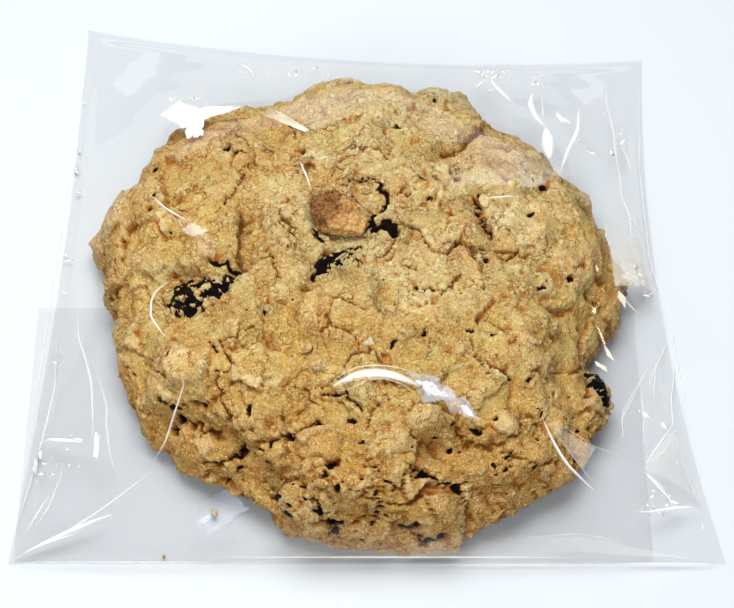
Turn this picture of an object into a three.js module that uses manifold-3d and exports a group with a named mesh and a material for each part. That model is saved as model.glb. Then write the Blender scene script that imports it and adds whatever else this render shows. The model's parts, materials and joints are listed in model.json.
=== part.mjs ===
// A large oatmeal raisin cookie, sealed in the clear film bag that it comes in.
// Millimetres, +Z up. The origin is on the surface that the bag lies on, at the middle of the bag.

import * as THREE from 'three';
import { mergeVertices } from 'three/addons/utils/BufferGeometryUtils.js';
import Module from 'manifold-3d';

const wasm = await Module();
wasm.setup();

// ---- Driving dimensions ----

// The bag: a film tube that narrows away from its folded near edge.
const bagNearWidth = 150;
const bagLeftLength = 145;
const bagRightLength = 135.5;
const bagFarLeftX = -68.5;
const bagFarRightX = 67;
const bagFilm = 0.4;
const bagSideSeam = 5;
const bagEdgeHeight = 1.2;
const bagFoldHeight = 6;
const bagClearance = 0.9;
const bagCells = 28;
const bagRelaxSweeps = 260;
const bagMouthWidth = 110;
const bagMouthDepth = 7;
const bagMouthHeight = 0.4;
const bagTuckDepth = 64;
const bagTuckWidth = 134;
const bagTuckMiddle = -7;
const bagTuckFilm = 0.3;

// The cookie: a domed round of dough with a slightly undercut foot.
const cookieCentre = new THREE.Vector2(-3, -12.6);
const cookieThickness = 25;
const cookieRest = bagFilm + 0.4;
const cookieDetail = 16;
const reliefMean = 2.0;

// The near side is held in by the bag's fold: how near it reaches, and how it leans back higher up.
const cookieNearY = -bagLeftLength / 2 + bagFilm + 0.7;
const cookieNearLean = 0.4;

// Distances from the middle of the cookie to its edge, every 15 degrees, anticlockwise from +X.
const edgeRadii = [
  59.4, 59.4, 60.9, 60.0, 58.9, 60.8, 62.5, 59.8, 59.7, 62.2, 62.4, 60.4,
  53.3, 54.2, 54.4, 52.0, 52.2, 56.4, 59.8, 62.4, 60.8, 62.9, 59.4, 54.4,
];

// The cookie's section: share of the radius, share of the thickness.
const sectionPoints = [
  [0, 1], [0.3, 0.98], [0.5, 0.93], [0.65, 0.86], [0.8, 0.73], [0.9, 0.58],
  [0.97, 0.4], [1, 0.24], [0.985, 0.09], [0.96, 0],
].map(([radius, height]) => new THREE.Vector2(radius, height));

// The crags that stand out most: place across the cookie, radius and height.
const crags = [
  { at: [20, 37], radius: 11, height: 2.6 },
  { at: [-5, 31], radius: 16, height: 2.2 },
  { at: [-36, 20], radius: 14, height: 2.4 },
  { at: [-43, 6], radius: 18, height: 2.4 },
  { at: [-51, -9], radius: 11, height: 2.4 },
  { at: [29, 16], radius: 14, height: 2.2 },
  { at: [42, -2], radius: 13, height: 2.6 },
  { at: [11, 8], radius: 11, height: 2.0 },
  { at: [-5, -27], radius: 11, height: 2.6 },
  { at: [13, -33], radius: 11, height: 2.0 },
  { at: [32, -29], radius: 12, height: 2.4 },
  { at: [5, -45], radius: 12, height: 2.6 },
  { at: [-35, -34], radius: 14, height: 2.6 },
  { at: [-24, -43], radius: 12, height: 2.2 },
  { at: [-38, -49], radius: 10, height: 2.4 },
  { at: [-6, -61], radius: 13, height: 2.8 },
  { at: [12, -66], radius: 9, height: 2.2 },
  { at: [30, -56], radius: 12, height: 2.2 },
  { at: [48.5, -40], radius: 8, height: 2.2 },
  { at: [-37.5, -11.5], radius: 4.5, height: 3.0 },
];

// Cracks between the crags: the line each one follows, its depth and half its width.
const cracks = [
  { line: [[-26, 3], [-25, -6], [-27, -12], [-30, -15]], depth: 2.4, half: 2.2 },
  { line: [[29, 36], [22.5, 24], [16, 18]], depth: 2.4, half: 2.4 },
  { line: [[24, 4], [24.5, -4]], depth: 1.8, half: 2.0 },
  { line: [[12, -55], [21, -55], [34, -51]], depth: 2.4, half: 2.4 },
  { line: [[-43, -43], [-35, -46], [-27, -52]], depth: 2.4, half: 2.4 },
  { line: [[-12, -19], [-16, -23], [-20, -32]], depth: 1.8, half: 1.8 },
  { line: [[5, -69], [10, -70.5], [16, -69]], depth: 1.8, half: 1.6 },
];

// Hollows round the sunken fruit: place, radius and depth.
const hollows = [
  { at: [-4, -6], radius: 15, depth: 2.4 },
  { at: [-36, -20], radius: 11, depth: 2.0 },
  { at: [39, -15], radius: 5, depth: 1.2 },
  { at: [-22, -58], radius: 9, depth: 3.0 },
];

// Smaller crags that cover the rest of the crust.
const smallCrags = 420;
const smallCragRadius = [3.4, 7.2];
const smallCragHeight = [0.9, 2.4];
const crustSeed = 4217;

// The raisins that show: half sizes, turn about +Z in degrees, and how far the middle lies
// below the crust.
const raisins = [
  { name: 'raisin_left', at: [-36, -19.2], half: [9.4, 6.6, 4.2], turn: 4, sunk: 2.4 },
  { name: 'raisin_centre_right', at: [5.6, -3.6], half: [6.2, 4.8, 3.8], turn: 66, sunk: 3.0 },
  { name: 'raisin_centre_near', at: [-7.2, -13.6], half: [7.4, 4.4, 3.8], turn: 30, sunk: 3.4 },
  { name: 'raisin_right', at: [39.4, -15.2], half: [4.6, 3.0, 3.0], turn: -28, sunk: 2.6 },
  { name: 'raisin_right_edge', at: [47.8, -35.6], half: [5.4, 3.6, 4.0], turn: -70, sunk: 1.6 },
  { name: 'raisin_near_left', at: [-12.5, -64], half: [6.4, 4.2, 3.8], turn: -14, sunk: 3.0 },
  { name: 'raisin_near_right', at: [20, -62.5], half: [4.4, 3.4, 3.6], turn: 60, sunk: 3.2 },
  { name: 'raisin_far', at: [16, 38.4], half: [5.0, 3.6, 3.2], turn: 35, sunk: 2.4 },
];
const raisinDetail = 2;
const raisinPocket = 0.35;

// The browned piece of baked crust that stands in the middle hollow.
const crustPiece = { at: [-6, -1.2], half: [6.8, 4.8, 3.7], turn: -24, sunk: -2.0 };
const crustPieceDetail = 3;
const crustPieceSquareness = 3.2;

// ---- Materials ----

function finish(colour, roughness) {
  return new THREE.MeshStandardMaterial({ color: colour, roughness, metalness: 0 });
}

const doughFinish = finish(0xc8a46a, 0.9);
const raisinFinish = finish(0x241812, 0.55);
const crustPieceFinish = finish(0x9c7040, 0.9);
const filmFinish = finish(0xe6ecf0, 0.1);
filmFinish.transparent = true;
filmFinish.opacity = 0.2;

// ---- Helpers ----

// A seeded source of numbers from 0 to 1.
function seededRandom(seed) {
  let state = seed;
  return () => {
    state = (state + 0x6d2b79f5) | 0;
    let mixed = Math.imul(state ^ (state >>> 15), 1 | state);
    mixed = (mixed + Math.imul(mixed ^ (mixed >>> 7), 61 | mixed)) ^ mixed;
    return ((mixed ^ (mixed >>> 14)) >>> 0) / 4294967296;
  };
}

function blendBetween(range, share) {
  return range[0] + (range[1] - range[0]) * share;
}

// Keeps only the positions of a geometry, with shared corners merged.
function closedGeometry(geometry) {
  geometry.deleteAttribute('normal');
  geometry.deleteAttribute('uv');
  return mergeVertices(geometry, 1e-4);
}

function toSolid(geometry) {
  return new wasm.Manifold(new wasm.Mesh({
    numProp: 3,
    vertProperties: Float32Array.from(geometry.attributes.position.array),
    triVerts: Uint32Array.from(geometry.index.array),
  }));
}

function toGeometry(solid) {
  const mesh = solid.getMesh();
  const geometry = new THREE.BufferGeometry();
  geometry.setAttribute('position', new THREE.BufferAttribute(mesh.vertProperties, mesh.numProp));
  geometry.setIndex(new THREE.BufferAttribute(mesh.triVerts, 1));
  return geometry;
}

// Moves every corner of a closed geometry out along its normal.
function inflate(geometry, distance) {
  const grown = geometry.clone();
  grown.computeVertexNormals();
  const position = grown.attributes.position;
  const normal = grown.attributes.normal;
  for (let i = 0; i < position.count; i += 1) {
    position.setXYZ(
      i,
      position.getX(i) + normal.getX(i) * distance,
      position.getY(i) + normal.getY(i) * distance,
      position.getZ(i) + normal.getZ(i) * distance,
    );
  }
  grown.deleteAttribute('normal');
  return grown;
}

// ---- The cookie's outline and section ----

const edgeCurve = new THREE.CatmullRomCurve3(
  edgeRadii.map((radius, i) => {
    const angle = (i / edgeRadii.length) * 2 * Math.PI;
    const reach = radius - reliefMean;
    return new THREE.Vector3(reach * Math.cos(angle), reach * Math.sin(angle), 0);
  }),
  true,
);

// The distance from the middle to the plain edge in a direction.
function edgeReach(angle) {
  const turn = (angle / (2 * Math.PI) + 1) % 1;
  return edgeCurve.getPoint(turn).length();
}

const sectionCurve = new THREE.SplineCurve(sectionPoints).getPoints(160);

// The area swept by the section up to each of its points, so that corners spread evenly.
const sectionArea = [0];
for (let i = 1; i < sectionCurve.length; i += 1) {
  const step = sectionCurve[i].clone().sub(sectionCurve[i - 1]);
  step.y *= cookieThickness / edgeRadii[0];
  const middle = (sectionCurve[i].x + sectionCurve[i - 1].x) / 2;
  sectionArea.push(sectionArea[i - 1] + middle * step.length());
}

// The section's point that has a share of the swept area on its upper side.
function sectionAt(share) {
  const wanted = share * sectionArea[sectionArea.length - 1];
  let i = 1;
  while (i < sectionArea.length - 1 && sectionArea[i] < wanted) {
    i += 1;
  }
  const part = (wanted - sectionArea[i - 1]) / (sectionArea[i] - sectionArea[i - 1]);
  const from = sectionCurve[i - 1];
  const to = sectionCurve[i];
  const radius = Math.sqrt(THREE.MathUtils.lerp(from.x ** 2, to.x ** 2, part));
  return new THREE.Vector2(radius, THREE.MathUtils.lerp(from.y, to.y, part));
}

// The height of the plain dome over a place on the cookie.
function domeHeight(x, y) {
  const across = new THREE.Vector2(x, y).sub(cookieCentre);
  const share = across.length() / edgeReach(across.angle());
  const widest = sectionCurve.findIndex((point, i) => i > 0 && point.x < sectionCurve[i - 1].x);
  let i = 1;
  while (i < widest && sectionCurve[i].x < share) {
    i += 1;
  }
  return cookieRest + cookieThickness * sectionCurve[i].y;
}

function onDome([x, y]) {
  return new THREE.Vector3(x, y, domeHeight(x, y));
}

// ---- The cookie's relief ----

const random = seededRandom(crustSeed);

function scatterCrag() {
  const angle = random() * 2 * Math.PI;
  const section = sectionAt(random());
  const reach = edgeReach(angle) * section.x;
  return {
    centre: new THREE.Vector3(
      cookieCentre.x + reach * Math.cos(angle),
      cookieCentre.y + reach * Math.sin(angle),
      cookieRest + cookieThickness * section.y,
    ),
    radius: blendBetween(smallCragRadius, random()),
    height: blendBetween(smallCragHeight, random()),
  };
}

const largeCrags = crags.map(({ at, radius, height }) => ({ centre: onDome(at), radius, height }));
const fineCrags = Array.from({ length: smallCrags }, scatterCrag);

const crackLines = cracks.map(({ line, depth, half }) => ({
  segments: line.slice(1).map((end, i) => new THREE.Line3(onDome(line[i]), onDome(end))),
  depth,
  half,
}));

const hollowSpots = hollows.map(({ at, radius, depth }) => ({ centre: onDome(at), radius, depth }));

// The highest of a set of crags at a point, so that two crags meet in a sharp crease.
function highestCrag(set, point) {
  return set.reduce((highest, { centre, radius, height }) => {
    const share = point.distanceToSquared(centre) / radius ** 2;
    return Math.max(highest, height * (1 - share));
  }, 0);
}

// How far the crust stands out at a point of the plain dome.
function relief(point) {
  let out = highestCrag(largeCrags, point) + highestCrag(fineCrags, point);
  for (const { centre, radius, depth } of hollowSpots) {
    const share = point.distanceToSquared(centre) / radius ** 2;
    out -= share < 1 ? depth * (1 - share) ** 2 : 0;
  }
  const nearest = new THREE.Vector3();
  for (const { segments, depth, half } of crackLines) {
    const away = Math.min(...segments.map(
      (segment) => segment.closestPointToPoint(point, true, nearest).distanceTo(point),
    ));
    out -= depth * Math.exp(-((away / half) ** 2));
  }
  return out;
}

// ---- The cookie ----

// A ball of even triangles, drawn out to the dome, the side and the flat foot.
function cookieGeometry() {
  const footShare = 0.07;
  const ball = closedGeometry(new THREE.IcosahedronGeometry(1, cookieDetail));
  const position = ball.attributes.position;
  const onFoot = [];
  for (let i = 0; i < position.count; i += 1) {
    const ballPoint = new THREE.Vector3().fromBufferAttribute(position, i).normalize();
    const angle = Math.atan2(ballPoint.y, ballPoint.x);
    const below = (1 - ballPoint.z) / 2;
    const foot = below > 1 - footShare;
    const footPoint = sectionPoints[sectionPoints.length - 1];
    const section = foot
      ? new THREE.Vector2(footPoint.x * Math.sqrt((1 - below) / footShare), 0)
      : sectionAt(below / (1 - footShare));
    const reach = edgeReach(angle) * section.x;
    onFoot.push(foot);
    position.setXYZ(
      i,
      cookieCentre.x + reach * Math.cos(angle),
      cookieCentre.y + reach * Math.sin(angle),
      cookieRest + cookieThickness * section.y,
    );
  }
  ball.computeVertexNormals();
  const normal = ball.attributes.normal.clone();
  const fadeHeight = 4;
  for (let i = 0; i < position.count; i += 1) {
    const point = new THREE.Vector3().fromBufferAttribute(position, i);
    const outward = new THREE.Vector3().fromBufferAttribute(normal, i);
    const rise = THREE.MathUtils.smoothstep(point.z, cookieRest, cookieRest + fadeHeight);
    const distance = onFoot[i] ? 0 : relief(point) * rise;
    point.addScaledVector(outward, distance);
    const nearLimit = cookieNearY + cookieNearLean * Math.max(point.z - bagFoldHeight, 0);
    const y = Math.max(point.y, nearLimit);
    position.setXYZ(i, point.x, y, Math.max(point.z, cookieRest));
  }
  ball.deleteAttribute('normal');
  return ball;
}

// ---- Raisins and the crust piece ----

// A place just under the crust, along the dome's own normal.
function underCrust(at, sunk) {
  const step = 1.5;
  const slopeX = (domeHeight(at[0] + step, at[1]) - domeHeight(at[0] - step, at[1])) / (2 * step);
  const slopeY = (domeHeight(at[0], at[1] + step) - domeHeight(at[0], at[1] - step)) / (2 * step);
  const outward = new THREE.Vector3(-slopeX, -slopeY, 1).normalize();
  const crust = onDome(at);
  crust.addScaledVector(outward, relief(crust) - sunk);
  return { centre: crust, outward };
}

function placed(geometry, { at, turn, sunk }) {
  const { centre, outward } = underCrust(at, sunk);
  const lean = new THREE.Quaternion().setFromUnitVectors(new THREE.Vector3(0, 0, 1), outward);
  geometry.rotateZ(THREE.MathUtils.degToRad(turn));
  geometry.applyQuaternion(lean);
  geometry.translate(centre.x, centre.y, centre.z);
  return geometry;
}

// A dried grape: a flattened ball with folds that run along it.
function raisinGeometry(raisin, index) {
  const ball = closedGeometry(new THREE.IcosahedronGeometry(1, raisinDetail));
  const position = ball.attributes.position;
  const folds = 5 + (index % 3);
  const foldDepth = 0.09;
  for (let i = 0; i < position.count; i += 1) {
    const point = new THREE.Vector3().fromBufferAttribute(position, i).normalize();
    const around = Math.atan2(point.z, point.y);
    const wave = Math.sin(folds * around + 2.2 * point.x + index);
    point.multiplyScalar(1 + foldDepth * wave);
    point.multiply(new THREE.Vector3(...raisin.half));
    position.setXYZ(i, point.x, point.y, point.z);
  }
  return placed(ball, raisin);
}

// A torn block of baked crust: a squared ball with an uneven skin.
function crustPieceGeometry() {
  const ball = closedGeometry(new THREE.IcosahedronGeometry(1, crustPieceDetail));
  const position = ball.attributes.position;
  const unevenness = 0.07;
  for (let i = 0; i < position.count; i += 1) {
    const point = new THREE.Vector3().fromBufferAttribute(position, i).normalize();
    const power = crustPieceSquareness;
    const size = (Math.abs(point.x) ** power + Math.abs(point.y) ** power
      + Math.abs(point.z) ** power) ** (1 / power);
    const wave = Math.sin(5 * point.x + 3 * point.y) * Math.cos(4 * point.z - 3 * point.y);
    point.multiplyScalar((1 + unevenness * wave) / size);
    point.multiply(new THREE.Vector3(...crustPiece.half));
    position.setXYZ(i, point.x, point.y, point.z);
  }
  return placed(ball, crustPiece);
}

// ---- The bag ----

const bagNearY = -bagLeftLength / 2;
const bagNearLeft = new THREE.Vector2(-bagNearWidth / 2, bagNearY);
const bagNearRight = new THREE.Vector2(bagNearWidth / 2, bagNearY);
const bagFarLeft = new THREE.Vector2(bagFarLeftX, bagNearY + bagLeftLength);
const bagFarRight = new THREE.Vector2(bagFarRightX, bagNearY + bagRightLength);

// A side of the bag, drawn in towards the cookie by its sag at the middle.
function bagSide(from, to, sag, share) {
  const point = from.clone().lerp(to, share);
  const along = to.clone().sub(from).normalize();
  const inward = new THREE.Vector2(-along.y, along.x);
  return point.addScaledVector(inward, sag * 4 * share * (1 - share));
}

const leftSag = 2;
const rightSag = 5;
const farSag = 5;

// A place on the bag from its shares across and along: a patch spanned between the four sides.
function bagPlace(across, along) {
  const near = bagNearLeft.clone().lerp(bagNearRight, across);
  const far = bagSide(bagFarRight, bagFarLeft, farSag, 1 - across);
  const left = bagSide(bagFarLeft, bagNearLeft, leftSag, 1 - along);
  const right = bagSide(bagNearRight, bagFarRight, rightSag, along);
  const fromSides = left.lerp(right, across);
  const fromEnds = near.clone().lerp(far, along);
  const corners = bagNearLeft.clone().lerp(bagNearRight, across)
    .lerp(bagFarLeft.clone().lerp(bagFarRight, across), along);
  return fromSides.add(fromEnds).sub(corners);
}

// A grid of places over the bag, with its own inset on each side, and a height for each place.
function bagGrid(inset, heightAt) {
  const rows = [];
  for (let j = 0; j <= bagCells; j += 1) {
    const row = [];
    for (let i = 0; i <= bagCells; i += 1) {
      const across = blendBetween([inset.side, 1 - inset.side], i / bagCells);
      const along = blendBetween([inset.near, 1 - inset.far], j / bagCells);
      const place = bagPlace(across, along);
      row.push(new THREE.Vector3(place.x, place.y, heightAt(across, along)));
    }
    rows.push(row);
  }
  return rows;
}

// The least height of the film over the things in the bag, one cell round each of their corners.
function obstacleHeights(grid, geometries) {
  const reach = bagNearWidth / bagCells;
  const heights = grid.map((row) => row.map(() => 0));
  for (const geometry of geometries) {
    const position = geometry.attributes.position;
    for (let k = 0; k < position.count; k += 1) {
      const [x, y, z] = [position.getX(k), position.getY(k), position.getZ(k)];
      grid.forEach((row, j) => row.forEach((node, i) => {
        if (Math.hypot(node.x - x, node.y - y) < reach) {
          heights[j][i] = Math.max(heights[j][i], z + bagClearance);
        }
      }));
    }
  }
  return heights;
}

// Film stretched over the obstacles: away from them each node settles at its neighbours' mean.
function relaxFilm(grid, obstacles) {
  const last = bagCells;
  grid.forEach((row, j) => row.forEach((node, i) => {
    const onNearFold = j === 0;
    const bulge = bagFoldHeight * Math.sin((i / last) * Math.PI);
    const edge = i === 0 || i === last || j === 0 || j === last;
    node.z = edge ? bagEdgeHeight + (onNearFold ? bulge : 0) : Math.max(obstacles[j][i], 2);
  }));
  for (let sweep = 0; sweep < bagRelaxSweeps; sweep += 1) {
    for (let j = 1; j < last; j += 1) {
      for (let i = 1; i < last; i += 1) {
        const mean = (grid[j - 1][i].z + grid[j + 1][i].z + grid[j][i - 1].z + grid[j][i + 1].z) / 4;
        grid[j][i].z = Math.max(obstacles[j][i], mean);
      }
    }
  }
  return grid;
}

// The underside of the film at a share across and along the bag: the film's height there, less
// its upright depth, which is more where it is steep.
function filmUnderside(grid, across, along) {
  const i = Math.min(Math.floor(across * bagCells), bagCells - 1);
  const j = Math.min(Math.floor(along * bagCells), bagCells - 1);
  const [nearWest, nearEast] = [grid[j][i], grid[j][i + 1]];
  const [farWest, farEast] = [grid[j + 1][i], grid[j + 1][i + 1]];
  const near = THREE.MathUtils.lerp(nearWest.z, nearEast.z, across * bagCells - i);
  const far = THREE.MathUtils.lerp(farWest.z, farEast.z, across * bagCells - i);
  const slopeX = (nearEast.z - nearWest.z) / (nearEast.x - nearWest.x);
  const slopeY = (farWest.z - nearWest.z) / (farWest.y - nearWest.y);
  const depth = bagFilm * Math.min(Math.hypot(1, slopeX, slopeY), 3);
  const height = THREE.MathUtils.lerp(near, far, along * bagCells - j) - depth;
  return Math.max(height, bagFilm * 1.5);
}

// A closed solid from a flat floor up to a grid of heights.
function solidUnder(grid, floor) {
  const size = bagCells + 1;
  const points = grid.flat().map((node) => [node.x, node.y, node.z]);
  const faces = [];
  for (let j = 0; j < bagCells; j += 1) {
    for (let i = 0; i < bagCells; i += 1) {
      const corner = j * size + i;
      faces.push([corner, corner + 1, corner + size + 1], [corner, corner + size + 1, corner + size]);
    }
  }
  const ring = [];
  for (let i = 0; i < bagCells; i += 1) {
    ring.push(i);
  }
  for (let j = 0; j < bagCells; j += 1) {
    ring.push(j * size + bagCells);
  }
  for (let i = bagCells; i > 0; i -= 1) {
    ring.push(bagCells * size + i);
  }
  for (let j = bagCells; j > 0; j -= 1) {
    ring.push(j * size);
  }
  const firstFoot = points.length;
  ring.forEach((corner) => points.push([points[corner][0], points[corner][1], floor]));
  ring.forEach((corner, k) => {
    const next = (k + 1) % ring.length;
    const [foot, nextFoot] = [firstFoot + k, firstFoot + next];
    faces.push([corner, foot, nextFoot], [corner, nextFoot, ring[next]]);
  });
  const outline = ring.map((corner) => new THREE.Vector2(points[corner][0], points[corner][1]));
  THREE.ShapeUtils.triangulateShape(outline, []).forEach(([a, b, c]) => {
    faces.push([firstFoot + a, firstFoot + c, firstFoot + b]);
  });
  const geometry = new THREE.BufferGeometry();
  geometry.setAttribute('position', new THREE.Float32BufferAttribute(points.flat(), 3));
  geometry.setIndex(faces.flat());
  return toSolid(geometry);
}

function boxSolid(width, depth, height, x, y, z) {
  const box = new THREE.BoxGeometry(width, depth, height);
  box.translate(x, y, z);
  return toSolid(closedGeometry(box));
}

// The bag's film: the outer form, less the space inside it and the mouth behind the near fold.
function bagGeometry(contents) {
  const outerGrid = bagGrid({ side: 0, near: 0, far: 0 }, () => 0);
  relaxFilm(outerGrid, obstacleHeights(outerGrid, contents));
  const innerInset = {
    side: bagSideSeam / bagNearWidth,
    near: bagFilm / bagLeftLength,
    far: bagSideSeam / bagLeftLength,
  };
  const innerGrid = bagGrid(
    innerInset,
    (across, along) => filmUnderside(outerGrid, across, along),
  );
  const tuck = boxSolid(
    bagTuckWidth, bagTuckDepth, bagTuckFilm,
    bagTuckMiddle, bagNearY + bagTuckDepth / 2, bagTuckFilm / 2,
  );
  const mouth = boxSolid(
    bagMouthWidth, bagMouthDepth, bagMouthHeight,
    0, bagNearY, bagFilm + bagMouthHeight / 2,
  );
  const outer = solidUnder(outerGrid, 0).add(tuck);
  const inside = solidUnder(innerGrid, bagFilm);
  return toGeometry(outer.subtract(inside).subtract(mouth));
}

// ---- The object ----

function namedMesh(name, geometry, material) {
  const mesh = new THREE.Mesh(geometry, material);
  mesh.name = name;
  return mesh;
}

const cookieBag = new THREE.Group();

const inserts = raisins.map((raisin, i) => raisinGeometry(raisin, i));
const crustPieceBody = crustPieceGeometry();

let dough = toSolid(cookieGeometry());
for (const insert of [...inserts, crustPieceBody]) {
  dough = dough.subtract(toSolid(inflate(insert, raisinPocket)));
}
const doughBody = toGeometry(dough);

cookieBag.add(namedMesh('cookie', doughBody, doughFinish));
inserts.forEach((geometry, i) => {
  cookieBag.add(namedMesh(raisins[i].name, geometry, raisinFinish));
});
cookieBag.add(namedMesh('crust_piece', crustPieceBody, crustPieceFinish));
cookieBag.add(namedMesh('bag', bagGeometry([doughBody, crustPieceBody, ...inserts]), filmFinish));

export default cookieBag;
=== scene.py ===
import json
import math

import bmesh
import bpy
import numpy as np
from mathutils import Matrix, Vector, noise
from mathutils.bvhtree import BVHTree

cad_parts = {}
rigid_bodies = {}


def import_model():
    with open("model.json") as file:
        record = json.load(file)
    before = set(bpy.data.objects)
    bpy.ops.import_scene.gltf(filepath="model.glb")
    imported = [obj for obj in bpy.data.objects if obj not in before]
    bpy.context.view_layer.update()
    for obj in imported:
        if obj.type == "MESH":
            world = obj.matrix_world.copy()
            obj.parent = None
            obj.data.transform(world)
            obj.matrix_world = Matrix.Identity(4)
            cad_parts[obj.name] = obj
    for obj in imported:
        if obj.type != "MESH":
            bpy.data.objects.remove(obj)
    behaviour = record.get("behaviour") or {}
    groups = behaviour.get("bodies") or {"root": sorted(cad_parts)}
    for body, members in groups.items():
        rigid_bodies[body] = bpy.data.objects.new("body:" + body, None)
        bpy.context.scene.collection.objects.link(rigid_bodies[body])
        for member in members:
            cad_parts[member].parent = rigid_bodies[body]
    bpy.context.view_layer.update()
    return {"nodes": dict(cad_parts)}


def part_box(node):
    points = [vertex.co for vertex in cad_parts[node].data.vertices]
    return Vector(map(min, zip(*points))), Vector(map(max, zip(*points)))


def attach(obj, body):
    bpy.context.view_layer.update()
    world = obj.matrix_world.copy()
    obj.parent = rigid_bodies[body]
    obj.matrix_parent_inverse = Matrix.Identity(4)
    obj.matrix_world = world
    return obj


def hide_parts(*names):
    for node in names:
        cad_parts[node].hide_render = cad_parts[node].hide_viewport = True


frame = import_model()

bl_info = {
    "name": "Oatmeal Raisin Cookie",
    "version": (1, 0, 0),
    "blender": (4, 5, 0),
    "location": "View3D > Sidebar > Cookie",
    "description": "Bakes the crust, raisins, crumbs and clear bag of an oatmeal raisin cookie",
    "category": "Object",
}

MM = 0.001
# The noise module's vectors start from the clock, unless it is given a seed first.
NOISE_SEED = 1
RAISIN_NODES = sorted(name for name in frame["nodes"] if name.startswith("raisin_"))

# The middle of the cookie and the plain size of its dome, in millimetres. Crags rise above it.
COOKIE_LOW, COOKIE_HIGH = (np.array(corner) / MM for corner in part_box("cookie"))
COOKIE_CENTRE = np.array([-3.0, -12.6])
COOKIE_FOOT = float(COOKIE_LOW[2])
CRAG_RISE = 3.0
COOKIE_THICKNESS = float(COOKIE_HIGH[2] - COOKIE_LOW[2]) - CRAG_RISE
DOUGH_DETAIL = (5, 5)

# The dough keeps this far behind the bag's near fold, bar a small share of what passes it.
NEAR_ROOM = 1.3
NEAR_PRESSED = 0.85

# The colour sockets of a Mix node: its two inputs and its output.
COLOUR_A, COLOUR_B = 6, 7
MIXED_COLOUR = 2

# How much of each raisin's back the dough leaves bare.
BARE_SHARE = {
    "raisin_left": 0.66,
    "raisin_centre_right": 0.0,
    "raisin_centre_near": 0.22,
    "raisin_right": 0.06,
    "raisin_right_edge": 0.72,
    "raisin_near_left": 0.06,
    "raisin_near_right": 0.0,
    "raisin_far": 0.02,
}

# Holes in the crust, painted near black inside as shade: place across the cookie, and radius.
HOLES = (
    ((-31, 19), 1.3), ((-48, 3), 0.6), ((-51, -1), 0.4), ((-14, 17), 0.6), ((16, 37), 0.6),
    ((26, -12), 0.7), ((44, -14), 0.7), ((12, -32), 0.6), ((-21, -26), 0.6), ((34, -40), 0.6),
    ((39, -41), 0.5), ((27, -49), 0.6), ((14, -53), 0.6), ((17, -54), 0.6), ((44, -52), 0.8),
    ((47, -45), 0.6), ((-43, -42), 0.9), ((-37, -44), 0.7), ((-40, -44), 1.0), ((-41, -46), 1.1),
    ((-26, -52), 1.3), ((-31, -55), 0.7), ((-17, -53), 0.7), ((-10, -51), 0.7), ((-7, -60), 1.2),
    ((-9, -62), 0.6), ((-6, -65), 0.8), ((2, -65), 1.0), ((11, -60), 0.6), ((12, -61), 0.9),
    ((21, -67), 1.0),
)
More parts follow.
